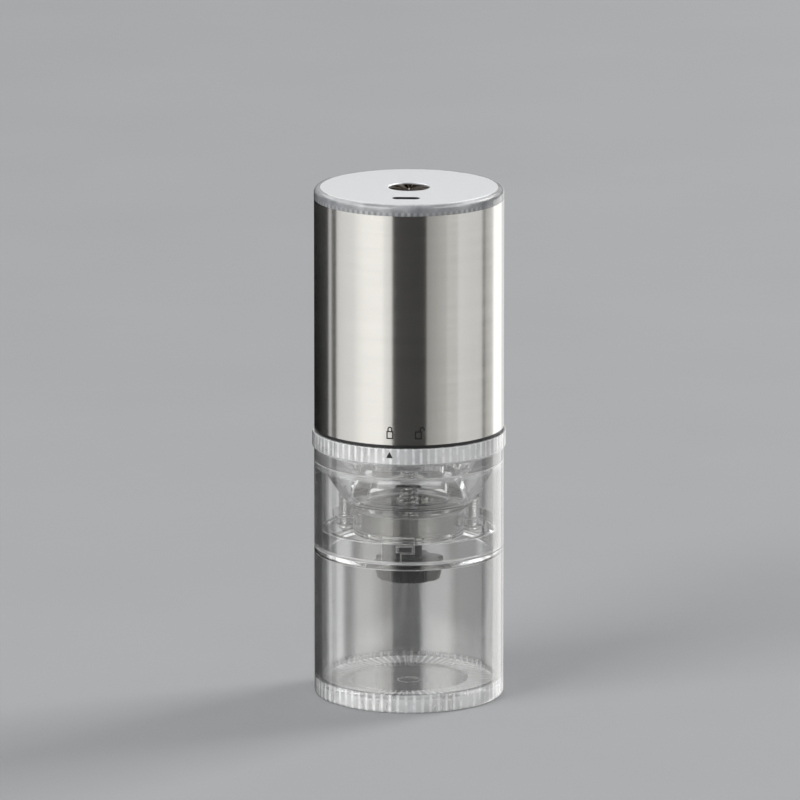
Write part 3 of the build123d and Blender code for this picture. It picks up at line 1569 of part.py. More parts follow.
with BuildPart() as top_frame:
    with BuildSketch(Plane.XY.offset(sleeve_top)) as frame_plan:
        Circle(frame_radius)
    extrude(amount=plate_z - sleeve_top)
    with BuildSketch(Plane.XY.offset(sleeve_top - skirt_height)) as skirt_plan:
        Circle(skirt_radius)
        Circle(skirt_radius - skirt_wall, mode=Mode.SUBTRACT)
    extrude(amount=skirt_height)
    with BuildSketch(Plane.XY.offset(upper_plate_top)) as post_plan:
        with PolarLocations(post_circle, 2, front_angle):
            Circle(post_radius)
    extrude(amount=sleeve_top - upper_plate_top)
    with BuildSketch(Plane.XY.offset(sleeve_top)) as frame_holes:
        Circle(button_bore)
        with Locations((0, -usb_setback)):
            RectangleRounded(cutout_width, cutout_depth, cutout_corner)
    extrude(amount=plate_z - sleeve_top, mode=Mode.SUBTRACT)
    with BuildSketch(Plane.XY.offset(sleeve_top)) as flange_room:
        Circle(flange_radius + turn_gap)
    extrude(amount=button_low + button_flange_gap - sleeve_top, mode=Mode.SUBTRACT)
    with BuildSketch(Plane.XY.offset(upper_plate_top)) as post_holes:
        with PolarLocations(post_circle, 2, front_angle):
            Circle(top_screw_radius + seat_gap)
    extrude(amount=top_screw_length - frame_plate + screw_slack, mode=Mode.SUBTRACT)

top_frame.part.label = "top_frame"
export_step(top_frame.part, "parts/top_frame.step")

with BuildPart() as top_screws:
    with BuildSketch(Plane.XY.offset(upper_plate_z)) as top_heads:
        with PolarLocations(post_circle, 2, front_angle):
            Circle(top_head_radius)
    extrude(amount=-top_head_height)
    with BuildSketch(Plane.XY.offset(upper_plate_z)) as top_shanks:
        with PolarLocations(post_circle, 2, front_angle):
            Circle(top_screw_radius)
    extrude(amount=top_screw_length)

top_screws.part.label = "top_screws"
export_step(top_screws.part, "parts/top_screws.step")

with BuildPart() as cap_ring:
    cap_shoulder = sleeve_top + cap_straight
    cap_round_radius = (body_radius + cap_rim_radius) / 2 + (body_radius - cap_rim_radius) / 5
    cap_round_z = (cap_shoulder + unit_top) / 2 + (unit_top - cap_shoulder) / 5
    with BuildSketch(Plane.XZ) as cap_profile:
        with BuildLine():
            Polyline(
                (cap_rim_radius, unit_top),
                (plate_rim + seat_gap, unit_top),
                (plate_rim + seat_gap, plate_z),
                (cap_bore, plate_z),
                (cap_bore, sleeve_top),
                (body_radius, sleeve_top),
                (body_radius, cap_shoulder),
            )
            ThreePointArc(
                (body_radius, cap_shoulder), (cap_round_radius, cap_round_z), (cap_rim_radius, unit_top)
            )
        make_face()
    revolve(axis=Axis.Z)

cap_ring.part.label = "cap_ring"
export_step(cap_ring.part, "parts/cap_ring.step")

with BuildPart() as top_plate:
    with BuildSketch(Plane.XY.offset(plate_z)) as top_plate_plan:
        Circle(plate_rim)
        Circle(button_bore, mode=Mode.SUBTRACT)
        with Locations((0, -usb_setback)):
            RectangleRounded(cutout_width, cutout_depth, cutout_corner, mode=Mode.SUBTRACT)
    extrude(amount=plate_thickness)
    top_edges = top_plate.edges().group_by(Axis.Z)[-1].filter_by(GeomType.CIRCLE)
    chamfer(top_edges.filter_by(lambda edge: edge.radius > button_radius), top_chamfer)

top_plate.part.label = "top_plate"
export_step(top_plate.part, "parts/top_plate.step")

with BuildPart() as power_button:
    with BuildSketch(Plane.XZ) as button_profile:
        with BuildLine():
            Polyline(
                (0, button_top - button_dish),
                (0, button_low - button_flange_height - stem_length),
                (stem_radius, button_low - button_flange_height - stem_length),
                (stem_radius, button_low - button_flange_height),
                (flange_radius, button_low - button_flange_height),
                (flange_radius, button_low),
                (button_radius, button_low),
                (button_radius, button_top - top_chamfer),
                (dish_radius, button_top),
            )
            ThreePointArc(
                (dish_radius, button_top),
                (dish_radius / 2, button_top - button_dish + dish_sphere - dish_middle),
                (0, button_top - button_dish),
            )
        make_face()
    revolve(axis=Axis.Z)

power_button.part.label = "power_button"
export_step(power_button.part, "parts/power_button.step")
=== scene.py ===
import math

import bpy
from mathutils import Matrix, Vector


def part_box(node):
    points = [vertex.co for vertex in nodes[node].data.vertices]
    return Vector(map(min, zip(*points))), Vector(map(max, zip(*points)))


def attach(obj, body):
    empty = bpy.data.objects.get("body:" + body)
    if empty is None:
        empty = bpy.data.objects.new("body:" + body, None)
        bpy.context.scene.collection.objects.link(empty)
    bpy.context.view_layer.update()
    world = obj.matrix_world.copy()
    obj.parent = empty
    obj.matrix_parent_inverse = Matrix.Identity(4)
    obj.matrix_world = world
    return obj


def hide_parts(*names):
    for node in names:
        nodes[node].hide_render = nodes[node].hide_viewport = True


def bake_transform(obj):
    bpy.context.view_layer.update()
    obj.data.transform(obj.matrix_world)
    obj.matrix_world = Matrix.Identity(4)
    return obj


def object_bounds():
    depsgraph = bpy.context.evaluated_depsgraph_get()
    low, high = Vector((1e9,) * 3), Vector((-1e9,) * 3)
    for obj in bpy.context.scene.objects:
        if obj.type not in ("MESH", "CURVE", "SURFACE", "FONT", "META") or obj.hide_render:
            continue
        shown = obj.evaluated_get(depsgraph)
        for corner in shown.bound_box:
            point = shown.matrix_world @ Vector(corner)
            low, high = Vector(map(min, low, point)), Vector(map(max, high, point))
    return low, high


# Looks for the rechargeable coffee grinder. Metres, in the frame of the solids: +Z up, front -Y.
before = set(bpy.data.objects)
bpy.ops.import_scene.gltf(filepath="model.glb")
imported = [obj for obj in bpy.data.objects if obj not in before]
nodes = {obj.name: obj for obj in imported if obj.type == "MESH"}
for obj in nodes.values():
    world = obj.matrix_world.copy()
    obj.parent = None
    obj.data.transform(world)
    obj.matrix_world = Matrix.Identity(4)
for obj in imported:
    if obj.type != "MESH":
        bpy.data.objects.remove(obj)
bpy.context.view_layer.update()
MM = 0.001


# SHADER HELPERS
class Shader:
    """A material with one Principled node, and short calls to build what feeds it."""

    def __init__(self, name, **settings):
        self.material = bpy.data.materials.new(name)
        self.material.use_nodes = True
        self.tree = self.material.node_tree
        self.main = self.tree.nodes["Principled BSDF"]
        self.place = self.tree.nodes.new("ShaderNodeTexCoord").outputs["Object"]
        for socket, value in settings.items():
            self.main.inputs[socket.replace("_", " ")].default_value = value

    def node(self, kind, inputs=(), **settings):
        """A node whose inputs are linked to sockets or set to values."""
        made = self.tree.nodes.new(kind)
        for name, value in settings.items():
            setattr(made, name, value)
        for socket, value in dict(inputs).items():
            if isinstance(value, bpy.types.NodeSocket):
                self.tree.links.new(value, made.inputs[socket])
            else:
                made.inputs[socket].default_value = value
        return made

    def feed(self, socket, value):
        """Links a value to an input of the Principled node."""
        self.tree.links.new(value, self.main.inputs[socket])

    def math(self, operation, *values):
        inputs = dict(enumerate(values))
        return self.node("ShaderNodeMath", inputs, operation=operation).outputs[0]

    def measure(self, operation, *vectors):
        inputs = dict(enumerate(vectors))
        return self.node("ShaderNodeVectorMath", inputs, operation=operation).outputs["Value"]

    def round_axis(self):
        """The angle round the axis, the distance from it, and the height."""
        x, y, height = self.node("ShaderNodeSeparateXYZ", {0: self.place}).outputs
        flat = self.node("ShaderNodeCombineXYZ", {0: x, 1: y}).outputs[0]
        return self.math("ARCTAN2", y, x), self.measure("LENGTH", flat), height

    def polar(self, round_scale, height_scale):
        """A place for patterns that run round the axis: angle, distance and height, each scaled."""
        angle, distance, height = self.round_axis()
        scaled = [
            self.math("MULTIPLY", angle, round_scale),
            self.math("MULTIPLY", distance, height_scale),
            self.math("MULTIPLY", height, height_scale),
        ]
        return self.node("ShaderNodeCombineXYZ", dict(enumerate(scaled))).outputs[0]

    def noise(self, scale, detail=3.0, place=None):
        inputs = {"Vector": place or self.place, "Scale": scale, "Detail": detail}
        return self.node("ShaderNodeTexNoise", inputs).outputs["Fac"]

    def spread(self, value, low, high, from_low=0.3, from_high=0.7):
        """Carries from_low to low and from_high to high, and holds the value between them."""
        inputs = {0: value, 1: from_low, 2: from_high, 3: low, 4: high}
        return self.node("ShaderNodeMapRange", inputs).outputs[0]

    def colours(self, value, *stops):
        """A colour ramp through (position, colour) stops."""
        ramp = self.node("ShaderNodeValToRGB", {0: value})
        elements = ramp.color_ramp.elements
        while len(elements) < len(stops):
            elements.new(0.5)
        for element, (position, colour) in zip(elements, stops):
            element.position = position
            element.color = (*colour, 1.0)
        return ramp.outputs[0]

    def bump(self, height, strength, depth_mm):
        inputs = {"Height": height, "Strength": strength, "Distance": depth_mm * MM}
        self.feed("Normal", self.node("ShaderNodeBump", inputs).outputs[0])


def shade(colour, factor):
    """The same colour, so many times as bright."""
    return tuple(part * factor for part in colour)


# MATERIALS
def brushed_metal(name, colour, roughness, streak=1.0):
    """Metal brushed round the axis: the light stretches up and down, and fine lines run round."""
    shader = Shader(name, Metallic=1.0, Anisotropic=1.0, Anisotropic_Rotation=0.25)
    shader.feed("Tangent", shader.node("ShaderNodeTangent", axis="Z").outputs[0])
    lines = shader.noise(1.0, 6.0, shader.polar(2.5, 9000.0))
    bands = shader.noise(1.0, 2.0, shader.polar(0.8, 500.0))
    lines_share = shader.math("MULTIPLY", lines, 0.7)
    both = shader.math("ADD", lines_share, shader.math("MULTIPLY", bands, 0.3))
    shader.feed("Roughness", shader.spread(both, roughness * 0.85, roughness * 1.2))
    shader.feed("Base Color", shader.colours(both, (0.3, shade(colour, 0.93)), (0.7, colour)))
    shader.bump(lines, 0.03 * streak, 0.02)
    return shader.material


def turned_metal(name, colour, roughness, fineness=6000.0, depth=0.1):
    """Bare machined metal: fine rings round the axis, and cloudy tone."""
    shader = Shader(name, Metallic=1.0)
    rings = shader.noise(1.0, 4.0, shader.polar(2.0, fineness))
    cloud = shader.noise(260.0)
    shader.feed("Roughness", shader.spread(cloud, roughness * 0.75, roughness * 1.3))
    shader.feed("Base Color", shader.colours(cloud, (0.35, shade(colour, 0.82)), (0.65, colour)))
    shader.bump(rings, depth, 0.03)
    return shader.material


def moulded_plastic(name, colour, roughness, grain=2200.0, depth=0.12, spots=0.12):
    """Opaque moulded plastic: fine spark-eroded grain and slight tone variation."""
    shader = Shader(name)
    grains = shader.noise(grain, 4.0)
    cloud = shader.noise(90.0)
    shader.feed("Roughness", shader.spread(grains, roughness * 0.8, roughness * 1.2))
    spotted = shade(colour, 1.0 - spots)
    shader.feed("Base Color", shader.colours(cloud, (0.3, spotted), (0.7, colour)))
    shader.bump(grains, depth, 0.03)
    return shader.material


PLASTIC_INDEX = 1.5
EDGE_RADIUS = 0.52 * MM
EDGE_STARTS, EDGE_WHITE = 0.997, 0.93
SKIN_FROM, SKIN_INDEX, SKIN_ROUGHNESS = 32.7 * MM, 2.4, 0.15
CLARITY = 0.99


def clear_plastic(name, colour, roughness, ripple, skin=False, frosts_and_highlights=()):
    """Clear moulded plastic: slightly uneven faces, a trace of haze, and edges painted white as a
    highlight, standing in for the light that rounded edges catch.
    A skin adds a glossy outside with rounded edges, further out than SKIN_FROM.
    A frost is (low, high, nearest, ribs, least, most): between those heights, and further out
    than nearest, the plastic is whiter by least to most. This is a frosted finish in part and
    painted highlight in part. The whiter parts stand in that many ribs round the axis, or lie
    evenly where it has no ribs."""
    shader = Shader(name, IOR=PLASTIC_INDEX, Transmission_Weight=CLARITY)
    haze = shader.noise(120.0)
    shader.feed("Roughness", shader.spread(haze, roughness * 0.6, roughness * 1.5))
    shader.feed("Base Color", shader.colours(haze, (0.3, shade(colour, 0.985)), (0.7, colour)))
    turn, distance, height = shader.round_axis()
    clear = CLARITY
    # Each frost whitens the plastic: a frosted finish in part, and painted highlight in part.
    for low, high, nearest, ribs, least, most in frosts_and_highlights:
        inside = shader.math("GREATER_THAN", height, low)
        inside = shader.math("MULTIPLY", inside, shader.math("LESS_THAN", height, high))
        beyond = shader.math("GREATER_THAN", distance, nearest)
        inside = shader.math("MULTIPLY", inside, beyond)
        if ribs:
            # The ribs are uneven: some of them, and of the clearer lines between, are whiter, which
            # is painted highlight in part.
            wave = shader.math("SINE", shader.math("MULTIPLY", turn, ribs))
            valley = shader.noise(55.0, 1.0)
            valley = shader.spread(valley, least, (least + most) / 2, 0.4, 0.6)
            peak = shader.spread(shader.noise(300.0, 2.0), most * 0.74, most, 0.42, 0.56)
            white = shader.spread(wave, valley, peak, 0.0, 0.95)
        else:
            white = shader.spread(haze, least, most)
        clear = shader.math("SUBTRACT", clear, shader.math("MULTIPLY", inside, white))
    # Painted highlight on the edges: within the bevel's radius of an edge the plastic is made less
    # clear, so the edges show as white lines.
    rounded = shader.node("ShaderNodeBevel", {"Radius": EDGE_RADIUS}, samples=4).outputs[0]
    plain = shader.node("ShaderNodeNewGeometry").outputs["Normal"]
    alike = shader.measure("DOT_PRODUCT", rounded, plain)
    edge_highlight = shader.spread(alike, 0.0, 1.0, EDGE_STARTS, EDGE_WHITE)
    shader.feed("Transmission Weight", shader.math("SUBTRACT", clear, edge_highlight))
    wavy = {"Height": shader.noise(45.0, 1.0), "Strength": ripple, "Distance": MM}
    if skin:
        shader.main.inputs["Coat IOR"].default_value = SKIN_INDEX
        shader.main.inputs["Coat Roughness"].default_value = SKIN_ROUGHNESS
        shader.feed("Coat Weight", shader.math("GREATER_THAN", distance, SKIN_FROM))
        wavy["Normal"] = rounded
    shader.feed("Normal", shader.node("ShaderNodeBump", wavy).outputs[0])
    return shader.material


sleeve_steel = brushed_metal("sleeve_steel", (0.83, 0.82, 0.795), 0.2)

top_metal = Shader("top_metal", Metallic=1.0)
top_grain = top_metal.noise(3500.0, 5.0)
top_metal.feed("Roughness", top_metal.spread(top_grain, 0.36, 0.5))
PLATE_DARK, PLATE_PALE = (0.5, 0.51, 0.53), (0.72, 0.73, 0.75)
top_metal.feed("Base Color", top_metal.colours(top_grain, (0.3, PLATE_DARK), (0.7, PLATE_PALE)))
top_metal.bump(top_grain, 0.35, 0.03)

# The button is spun metal, darker than the plate, with streaks that run out from its middle.
button = Shader(
    "button_metal", Metallic=1.0, Anisotropic=0.7, Specular_Tint=(0.3, 0.28, 0.26, 1.0)
)
button.feed("Tangent", button.node("ShaderNodeTangent", axis="Z").outputs[0])
button_rays = button.noise(1.0, 5.0, button.polar(16.0, 60.0))
BUTTON_TONES = [(0.4, (0.03, 0.027, 0.024)), (0.54, (0.1, 0.092, 0.085)), (0.7, (0.45, 0.43, 0.4))]
button.feed("Roughness", button.spread(button_rays, 0.16, 0.34))
button.feed("Base Color", button.colours(button_rays, *BUTTON_TONES))
button.bump(button_rays, 0.15, 0.05)

# The cap ring is milky, and a row of small ribs shows through its foot.
CAP_RIBS, CAP_FOOT = 96.0, 177.4 * MM
CAP_TONES = [(0.1, (0.16, 0.165, 0.17)), (0.5, (0.42, 0.43, 0.45)), (0.9, (0.85, 0.86, 0.87))]
milky = Shader(
    "milky_ring", Transmission_Weight=0.5, IOR=PLASTIC_INDEX,
    Coat_Weight=1.0, Coat_Roughness=0.06, Coat_IOR=1.8,
)
milky_cloud = milky.noise(160.0)
milky_turn, _, milky_height = milky.round_axis()
milky_wave = milky.math("SINE", milky.math("MULTIPLY", milky_turn, CAP_RIBS))
milky_dark = milky.spread(milky_wave, -0.2, 0.22, -0.3, 0.5)
milky_faded = milky.spread(milky.noise(50.0, 1.0), 0.2, 1.0, 0.42, 0.58)
milky_dark = milky.math("MULTIPLY", milky_dark, milky_faded)
milky_dark = milky.math("MULTIPLY", milky_dark, milky.math("LESS_THAN", milky_height, CAP_FOOT))
milky.feed("Roughness", milky.spread(milky_cloud, 0.3, 0.42))
milky_tone = milky.math("SUBTRACT", milky_cloud, milky_dark)
milky.feed("Base Color", milky.colours(milky_tone, *CAP_TONES))

# In the jar's foot the flutes are whitest, then their streaks on the floor over them, and then
# the ribs up the wall. The flutes and ribs are a frosted finish in part and painted highlight in
# part. The streaks over the flutes are painted highlight: the flutes' light seen through the floor.
FLUTE_TOP, FLOOR_TOP, FOOT_TOP, FLUTES = 5.0 * MM, 5.6 * MM, 6.6 * MM, 72.0
FLUTE_NEAREST, STREAK_NEAREST, WALL_NEAREST = 19.9 * MM, 20.6 * MM, 30.6 * MM
JAR_FROSTS_AND_HIGHLIGHTS = [
    (0.0, FLUTE_TOP, FLUTE_NEAREST, FLUTES, 0.3, 0.85),
    (FLUTE_TOP, FLOOR_TOP, STREAK_NEAREST, FLUTES, 0.0, 0.85),
    (FLOOR_TOP, FOOT_TOP, WALL_NEAREST, FLUTES, 0.2, 0.75),
]
# The ring's ribs and the band over the funnel are whiter: a frosted finish in part, and painted
# highlight in part.
RING_LOW, RING_HIGH, RING_RIBS = 88.6 * MM, 94.4 * MM, 80.0
FUNNEL_LOW, FUNNEL_NEAREST = 81.5 * MM, 24.0 * MM
HOPPER_FROSTS_AND_HIGHLIGHTS = [
    (RING_LOW, RING_HIGH, 0.0, RING_RIBS, 0.3, 0.85),
    (FUNNEL_LOW, RING_LOW, FUNNEL_NEAREST, 0, 0.1, 0.2),
]
CLEAR = (0.985, 0.99, 0.99)
clear_jar = clear_plastic("clear_jar", CLEAR, 0.012, 0.02, True, JAR_FROSTS_AND_HIGHLIGHTS)
clear_hopper = clear_plastic("clear_hopper", CLEAR, 0.008, 0.008, True, HOPPER_FROSTS_AND_HIGHLIGHTS)
clear_bridge = clear_plastic("clear_bridge", (0.98, 0.985, 0.985), 0.008, 0.01)
clear_carrier = clear_plastic("clear_carrier", (0.975, 0.98, 0.985), 0.008, 0.01)

# The base cup shows black only at its lip. Under the lip it is pale, like the parts round it,
# which is a guess made to match the photograph.
LIP_FOOT = 94.45 * MM
CUP_PALE, CUP_BLACK = (0.62, 0.63, 0.64), (0.014, 0.014, 0.015)
cup = Shader("base_cup_plastic")
cup_height = cup.node("ShaderNodeSeparateXYZ", {0: cup.place}).outputs[2]
cup_lip = cup.math("GREATER_THAN", cup_height, LIP_FOOT)
cup_grain = cup.noise(2200.0, 4.0)
cup.feed("Roughness", cup.spread(cup_grain, 0.28, 0.4))
cup.feed("Base Color", cup.colours(cup_lip, (0.45, CUP_PALE), (0.55, CUP_BLACK)))
cup.bump(cup_grain, 0.1, 0.03)

knob_black = moulded_plastic("knob_black", (0.011, 0.011, 0.012), 0.33, 1800.0, 0.15, 0.3)
frame_black = moulded_plastic("frame_black", (0.03, 0.03, 0.032), 0.45)
gear_white = moulded_plastic("gear_white", (0.82, 0.81, 0.76), 0.35, 1500.0, 0.08)
rubber = moulded_plastic("seal_rubber", (0.03, 0.028, 0.027), 0.7, 3000.0, 0.2)
magnet_grey = moulded_plastic("magnet_grey", (0.07, 0.068, 0.066), 0.55, 2500.0, 0.25, 0.3)
ink = moulded_plastic("mark_ink", (0.012, 0.012, 0.013), 0.4, 5000.0, 0.05)

burr_steel = brushed_metal("burr_steel", (0.66, 0.65, 0.62), 0.2, 1.5)
screw_steel = turned_metal("screw_steel", (0.88, 0.87, 0.85), 0.2)
spring_steel = turned_metal("spring_steel", (0.92, 0.915, 0.9), 0.26, 3000.0, 0.04)
shaft_steel = turned_metal("shaft_steel", (0.78, 0.77, 0.75), 0.24)
can_steel = turned_metal("can_steel", (0.6, 0.61, 0.62), 0.32)
socket_steel = turned_metal("socket_steel", (0.55, 0.55, 0.56), 0.3)
polished_steel = turned_metal("polished_edge", (0.93, 0.93, 0.93), 0.08, 3000.0, 0.02)
brass = turned_metal("bush_brass", (0.72, 0.52, 0.24), 0.26)
sintered = turned_metal("bush_sintered", (0.56, 0.52, 0.46), 0.36, 2500.0, 0.2)
contact_brass = turned_metal("contact_brass", (0.78, 0.56, 0.3), 0.3)

# Laminations and windings are fine steps along the axis.
IRON_DARK, IRON_PALE = (0.16, 0.15, 0.15), (0.4, 0.38, 0.37)
iron = Shader("armature_iron", Metallic=1.0, Roughness=0.4)
iron_layers = iron.noise(1.0, 1.0, iron.polar(0.2, 4000.0))
iron.feed("Base Color", iron.colours(iron_layers, (0.4, IRON_DARK), (0.6, IRON_PALE)))
iron.bump(iron_layers, 0.4, 0.05)

COPPER_DARK, COPPER_BRIGHT = (0.36, 0.13, 0.06), (0.83, 0.4, 0.2)
copper = Shader("winding_copper", Metallic=1.0, Roughness=0.28)
copper_turns = copper.noise(1.0, 0.0, copper.polar(3.0, 2600.0))
copper.feed("Base Color", copper.colours(copper_turns, (0.4, COPPER_DARK), (0.6, COPPER_BRIGHT)))
copper.bump(copper_turns, 0.6, 0.15)

WRAP_DARK, WRAP_BLUE = (0.03, 0.16, 0.3), (0.05, 0.22, 0.4)
cell_wrap = Shader("cell_wrap", IOR=PLASTIC_INDEX)
cell_cloud = cell_wrap.noise(300.0)
cell_wrap.feed("Roughness", cell_wrap.spread(cell_cloud, 0.18, 0.3))
cell_wrap.feed("Base Color", cell_wrap.colours(cell_cloud, (0.3, WRAP_DARK), (0.7, WRAP_BLUE)))
cell_wrap.bump(cell_cloud, 0.2, 0.1)

BOARD_DARK, BOARD_GREEN = (0.012, 0.09, 0.04), (0.03, 0.2, 0.1)
board = Shader("board_green")
board_inputs = {"Vector": board.place, "Scale": 420.0}
tracks = board.node("ShaderNodeTexVoronoi", board_inputs, distance="MANHATTAN").outputs["Distance"]
board.feed("Roughness", board.spread(tracks, 0.3, 0.42, 0.0, 1.0))
board.feed("Base Color", board.colours(tracks, (0.4, BOARD_DARK), (0.5, BOARD_GREEN)))

# The leads on the left are black, and those on the right are red.
LEAD_BLACK, LEAD_RED = (0.02, 0.02, 0.022), (0.45, 0.02, 0.02)
leads = Shader("lead_insulation")
lead_x = leads.node("ShaderNodeSeparateXYZ", {0: leads.place}).outputs[0]
lead_side = leads.math("GREATER_THAN", lead_x, 0.0)
leads.feed("Base Color", leads.colours(lead_side, (0.45, LEAD_BLACK), (0.55, LEAD_RED)))
leads.feed("Roughness", leads.spread(leads.noise(900.0), 0.35, 0.5))

DRESS = {
    clear_jar: ["jar"],
    clear_hopper: ["hopper_shell"],
    clear_bridge: ["shaft_bridge"],
    clear_carrier: ["burr_carrier"],
    milky.material: ["cap_ring"],
    sleeve_steel: ["steel_sleeve"],
    top_metal.material: ["top_plate"],
    button.material: ["power_button"],
    cup.material: ["base_cup"],
    knob_black: ["adjust_knob"],
    frame_black: [
        "chassis", "top_frame", "motor_end_cap", "button_switch", "switch_plunger", "usb_tongue",
    ],
    gear_white: [
        "drive_socket", "drive_dog", "gearbox_cover", "gearbox_housing",
        "stage_carrier", "planet_1a", "planet_1b", "planet_1c",
        "output_carrier", "planet_2a", "planet_2b", "planet_2c",
    ],
    rubber: ["output_seal"],
    magnet_grey: ["motor_magnets"],
    burr_steel: ["outer_burr", "inner_burr"],
    screw_steel: [
        "carrier_screws", "base_screws", "gearbox_screws",
        "motor_screws", "board_screws", "top_screws",
    ],
    spring_steel: ["adjust_spring", "spring_collar"],
    shaft_steel: ["burr_shaft", "output_bearing", "motor_shaft", "stage_pins", "output_pins"],
    can_steel: ["motor_can", "motor_plate", "cell_tabs"],
    socket_steel: ["usb_shell"],
    brass: ["motor_bushes", "sun_gear"],
    sintered: ["shaft_bush"],
    contact_brass: ["motor_contacts", "commutator"],
    iron.material: ["armature_core"],
    copper.material: ["armature_coils"],
    cell_wrap.material: ["cell_left", "cell_right"],
    board.material: ["control_board"],
    leads.material: ["lead_wires"],
}
for material, names in DRESS.items():
    for name in names:
        for slot in nodes[name].material_slots:
            slot.material = material


# PIECES MADE HERE
def mesh_piece(name, points, faces, material, body, smooth=False):
    """A new object from points and faces, which rides on the body and takes the slot given."""
    mesh = bpy.data.meshes.new(name)
    mesh.from_pydata(points, [], faces)
    mesh.materials.append(material)
    mesh.polygons.foreach_set("use_smooth", [smooth] * len(faces))
    mesh.update()
    piece = bpy.data.objects.new(name, mesh)
    bpy.context.scene.collection.objects.link(piece)
    if body:
        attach(piece, body)
    return piece


def round_point(centre, radius, share, height):
    """A point at that share of a full turn round an upright axis."""
    angle = 2 * math.pi * share
    return (centre[0] + radius * math.cos(angle), centre[1] + radius * math.sin(angle), height)


def add_rings(faces, first, rings, sides, inward=False):
    """Adds the faces between rings of points, which start at first."""
    for ring in range(rings):
        for side in range(sides):
            here = first + ring * sides + side
            there = first + ring * sides + (side + 1) % sides
            face = (here, there, there + sides, here + sides)
            faces.append((here, here + sides, there + sides, there) if inward else face)


# MARKS
FRONT = math.radians(-90.0)
INK_LIFT, INK_DEPTH = 0.01 * MM, 0.03 * MM
LINE_WIDTH, LINE_STEP, MITRE_LIMIT = 0.42 * MM, 0.3 * MM, 0.3


def wrapped(across, height, radius):
    """A point of a flat drawing laid round a cylinder, with across measured along the surface."""
    angle = FRONT + across / radius
    return (radius * math.cos(angle), radius * math.sin(angle), height)


def ribbon(path, width, closed):
    """The two edges of a line of that width along a flat path, mitred at its corners."""
    edges = []
    count = len(path)
    for index, point in enumerate(path):
        before = path[index - 1] if closed or index else path[0]
        after = path[(index + 1) % count] if closed or index < count - 1 else path[-1]
        heading_in = Vector((point[0] - before[0], point[1] - before[1]))
        heading_out = Vector((after[0] - point[0], after[1] - point[1]))
        if heading_in.length == 0:
            heading_in = heading_out
        if heading_out.length == 0:
            heading_out = heading_in
        heading_in.normalize()
        heading_out.normalize()
        normal_in = Vector((-heading_in.y, heading_in.x))
        normal = normal_in + Vector((-heading_out.y, heading_out.x))
        normal.normalize()
        reach = width / 2 / max(MITRE_LIMIT, normal.dot(normal_in))
        edges.append((
            (point[0] + normal.x * reach, point[1] + normal.y * reach),
            (point[0] - normal.x * reach, point[1] - normal.y * reach),
        ))
    return edges


def finer(path, step, closed):
    """The same path with points no further apart than the step, so that it bends round the wall."""
    points = []
    ends = path[1:] + ([path[0]] if closed else [])
    for start, end in zip(path, ends):
        parts = max(1, math.ceil(math.dist(start, end) / step))
        for part in range(parts):
            share = part / parts
            points.append(tuple(a + (b - a) * share for a, b in zip(start, end)))
    if not closed:
        points.append(path[-1])
    return points


def drawn_lines(name, paths, radius, body):
    """Printed lines on a cylinder: each path is (points, closed), in metres along the surface."""
    points, faces = [], []
    for path, closed in paths:
        edges = ribbon(finer(path, LINE_STEP, closed), LINE_WIDTH, closed)
        first = len(points)
        for lift in (INK_LIFT, INK_LIFT + INK_DEPTH):
            for left, right in edges:
                points.append(wrapped(*left, radius + lift))
                points.append(wrapped(*right, radius + lift))
        count = len(edges)
        upper = first + 2 * count
        for index in range(count if closed else count - 1):
            here, there = 2 * index, 2 * ((index + 1) % count)
            faces.append((upper + here, upper + there, upper + there + 1, upper + here + 1))
            faces.append((first + here, first + here + 1, first + there + 1, first + there))
            faces.append((first + here, first + there, upper + there, upper + here))
            faces.append((first + here + 1, upper + here + 1, upper + there + 1, first + there + 1))
        if not closed:
            last = 2 * (count - 1)
            faces.append((first, upper, upper + 1, first + 1))
            faces.append((first + last, first + last + 1, upper + last + 1, upper + last))
    return mesh_piece(name, points, faces, ink, body)


MARK_ANGLE = 8.6
LOCK_HALF_WIDTH, LOCK_LOW, LOCK_HIGH = 1.0 * MM, 97.9 * MM, 100.3 * MM
SHACKLE_REACH, SHACKLE_TOP, SHACKLE_GAP, SHACKLE_STEPS = 0.65 * MM, 101.2 * MM, 0.35 * MM, 12


def padlock(name, angle_degrees, is_open):
    """A lock mark: an outlined body and a round shackle, which stands off to one side when open."""
    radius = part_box("steel_sleeve")[1].x
    middle = math.radians(angle_degrees) * radius
    left, right = middle - LOCK_HALF_WIDTH, middle + LOCK_HALF_WIDTH
    outline = [(left, LOCK_LOW), (right, LOCK_LOW), (right, LOCK_HIGH), (left, LOCK_HIGH)]
    centre = middle + (2 * SHACKLE_REACH if is_open else 0.0)
    arch = [(centre - SHACKLE_REACH, LOCK_HIGH)]
    for step in range(SHACKLE_STEPS + 1):
        turn = math.pi * (1 - step / SHACKLE_STEPS)
        across, height = SHACKLE_REACH * math.cos(turn), SHACKLE_REACH * math.sin(turn)
        arch.append((centre + across, SHACKLE_TOP + height))
    arch.append((centre + SHACKLE_REACH, LOCK_HIGH + (SHACKLE_GAP if is_open else 0.0)))
    drawn_lines(name, [(outline, True), (arch, False)], radius, "drive_unit")


padlock("lock_closed_mark", -MARK_ANGLE, False)
padlock("lock_open_mark", MARK_ANGLE, True)

